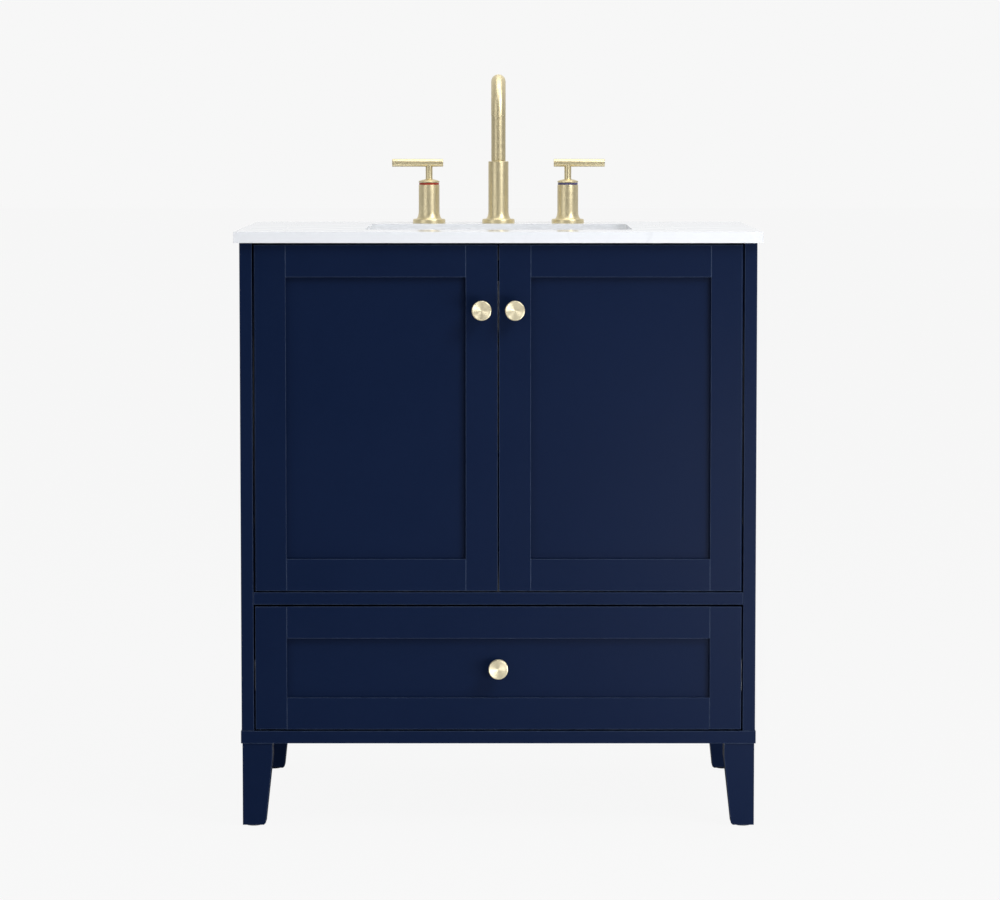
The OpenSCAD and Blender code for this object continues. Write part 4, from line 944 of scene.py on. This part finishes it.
def repeat_tree():
    """Copies one thing to every point, turned to face the point's own way."""
    tree = bpy.data.node_groups.new("copies_at_points", "GeometryNodeTree")
    for label, kind in (("Points", "Geometry"), ("Thing", "Object"), ("Size", "Float"),
                        ("Turn Seed", "Int"), ("Finish", "Material")):
        tree.interface.new_socket(label, in_out="INPUT", socket_type="NodeSocket" + kind)
    tree.interface.new_socket("Mesh", in_out="OUTPUT", socket_type="NodeSocketGeometry")
    takes = tree.nodes.new("NodeGroupInput").outputs
    gives = tree.nodes.new("NodeGroupOutput").inputs
    thing = tree.nodes.new("GeometryNodeObjectInfo")
    tree.links.new(takes["Thing"], thing.inputs["Object"])
    way = tree.nodes.new("GeometryNodeInputNamedAttribute")
    way.data_type = "FLOAT_VECTOR"
    way.inputs["Name"].default_value = "facing"
    aim = tree.nodes.new("FunctionNodeAlignRotationToVector")
    aim.axis = "Z"
    tree.links.new(way.outputs["Attribute"], aim.inputs["Vector"])
    chance = tree.nodes.new("FunctionNodeRandomValue")
    chance.data_type = "FLOAT"
    chance.inputs[3].default_value = math.tau
    tree.links.new(takes["Turn Seed"], chance.inputs["Seed"])
    spin = tree.nodes.new("FunctionNodeAxisAngleToRotation")
    spin.inputs["Axis"].default_value = (0.0, 0.0, 1.0)
    tree.links.new(chance.outputs[1], spin.inputs["Angle"])
    turn = tree.nodes.new("FunctionNodeRotateRotation")
    turn.rotation_space = "LOCAL"
    tree.links.new(aim.outputs["Rotation"], turn.inputs["Rotation"])
    tree.links.new(spin.outputs["Rotation"], turn.inputs["Rotate By"])
    copies = tree.nodes.new("GeometryNodeInstanceOnPoints")
    tree.links.new(takes["Points"], copies.inputs["Points"])
    tree.links.new(thing.outputs["Geometry"], copies.inputs["Instance"])
    tree.links.new(turn.outputs["Rotation"], copies.inputs["Rotation"])
    tree.links.new(takes["Size"], copies.inputs["Scale"])
    real = tree.nodes.new("GeometryNodeRealizeInstances")
    tree.links.new(copies.outputs["Instances"], real.inputs["Geometry"])
    coat = tree.nodes.new("GeometryNodeSetMaterial")
    tree.links.new(real.outputs["Geometry"], coat.inputs["Geometry"])
    tree.links.new(takes["Finish"], coat.inputs["Material"])
    tree.links.new(coat.outputs["Geometry"], gives["Mesh"])
    return tree


copies_at_points = repeat_tree()


def scatter(name, thing, size, spots, finish, body, seed=3):
    """One mesh of that thing at every (place, facing) spot, riding on the body."""
    mesh = bpy.data.meshes.new(name + "_spots")
    mesh.from_pydata([tuple(place) for place, facing in spots], [], [])
    ways = mesh.attributes.new("facing", "FLOAT_VECTOR", "POINT")
    for i, (place, facing) in enumerate(spots):
        ways.data[i].vector = facing
    holder = in_scene(name + "_spots", mesh)
    maker = holder.modifiers.new("copies", "NODES")
    maker.node_group = copies_at_points
    sockets = {s.name: s.identifier for s in copies_at_points.interface.items_tree
               if s.in_out == "INPUT"}
    maker[sockets["Thing"]] = thing
    maker[sockets["Size"]] = size
    maker[sockets["Turn Seed"]] = seed
    maker[sockets["Finish"]] = finish
    seen_from = bpy.context.evaluated_depsgraph_get()
    made = bpy.data.meshes.new_from_object(holder.evaluated_get(seen_from), depsgraph=seen_from)
    made.name = name
    bpy.data.objects.remove(holder)
    piece = in_scene(name, made)
    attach(piece, body)
    return piece


head = screw_head()
HINGE_END, WING_T, CUP_OUT = 0.092, 0.0012, 0.002
CUP_SPREAD, PLATE_SPREAD, PLATE_PROUD = 0.0225, 0.0205, 0.003
CUP_HEAD_R, PLATE_HEAD_R, BLOCK_HEAD_R = 0.0030, 0.0034, 0.0036
pin = next(joint["pos_m"] for joint in record["behaviour"]["joints"]
           if joint["name"] == "right_door_swing")
door_low, door_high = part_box("right_door_hinge_stile")
levels = (door_low.z + HINGE_END, door_high.z - HINGE_END)
wing_y = door_high.y + WING_T
cup_x = pin[0] + CUP_OUT
for side, body in ((-1, "left_door"), (1, "right_door")):
    spots = [((side * cup_x, wing_y, z + step * CUP_SPREAD), (0.0, 1.0, 0.0))
             for z in levels for step in (-1, 1)]
    scatter(f"{body}_cup_screws", head, CUP_HEAD_R, spots, nickel, body, 5 + side)
plate_low, plate_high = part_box("hinge_plates")
plate_x, plate_y = plate_high.x - PLATE_PROUD, (plate_low.y + plate_high.y) / 2
spots = [((side * plate_x, plate_y, z + step * PLATE_SPREAD), (-side, 0.0, 0.0))
         for side in (-1, 1) for z in levels for step in (-1, 1)]
scatter("hinge_plate_screws", head, PLATE_HEAD_R, spots, nickel, "cabinet", 11)
block_low, block_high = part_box("corner_blocks")
BLOCK_EDGE, BLOCK_MIDDLE, BLOCK_INS = 0.016, 0.019, (0.012, 0.026)
rows = ((block_low.y + BLOCK_EDGE, 1), (block_high.y - BLOCK_EDGE, -1))
spots = [((side * (block_high.x - inward), y - toward * (inward - BLOCK_MIDDLE), block_low.z),
          (0.0, 0.0, -1.0))
         for side in (-1, 1) for y, toward in rows for inward in BLOCK_INS]
scatter("corner_block_screws", head, BLOCK_HEAD_R, spots, zinc, "cabinet", 17)

ball_shape = ball()
middle_low, middle_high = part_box("slide_middle_members")
BALL_R, BALL_GAP, BALL_IN, BALLS = 0.0016, 0.00175, 0.004, 22
CAGE_START, CAGE_SPARE = 0.02, 0.06
ball_x = middle_high.x - BALL_IN
cage_l = middle_high.y - middle_low.y - CAGE_SPARE
spots = [((side * ball_x, middle_low.y + CAGE_START + cage_l * n / (BALLS - 1), z), (0.0, 0.0, 1.0))
         for side in (-1, 1) for z in (middle_low.z - BALL_GAP, middle_high.z + BALL_GAP)
         for n in range(BALLS)]
scatter("slide_balls", ball_shape, BALL_R, spots, zinc, "slide_middles", 23)
bpy.data.objects.remove(head)
bpy.data.objects.remove(ball_shape)


# ---- Plastic glides and door stop ----
# Nylon nail-in glides under the legs, and the moulded stop behind the front rail that both doors
# close against. Matt grey, with a fine moulded grain.

plastic, tree, shader = new_finish("grey_plastic", **{"Specular IOR Level": 0.4})
spot = add(tree, "TexCoord").outputs["Object"]
mould = noise(tree, spot, 1400.0, 2.0)
dirt = noise(tree, spot, 60.0, 4.0)
tone = mixed(tree, dirt.outputs["Fac"], (0.10, 0.10, 0.103, 1.0), (0.16, 0.16, 0.163, 1.0))
rough = spread(tree, mould.outputs["Fac"], 0.3, 0.7, 0.5, 0.65)
skin = raised(tree, mould.outputs["Fac"], 0.25, 0.0001)
dress(tree, shader, tone, rough, skin)
GLIDE_EASE, STOP_EASE = 0.0006, 0.0012
eased_copy("leg_glides", "leg_glides_moulded", plastic, GLIDE_EASE)
eased_copy("door_stop", "door_stop_moulded", plastic, STOP_EASE, 3)
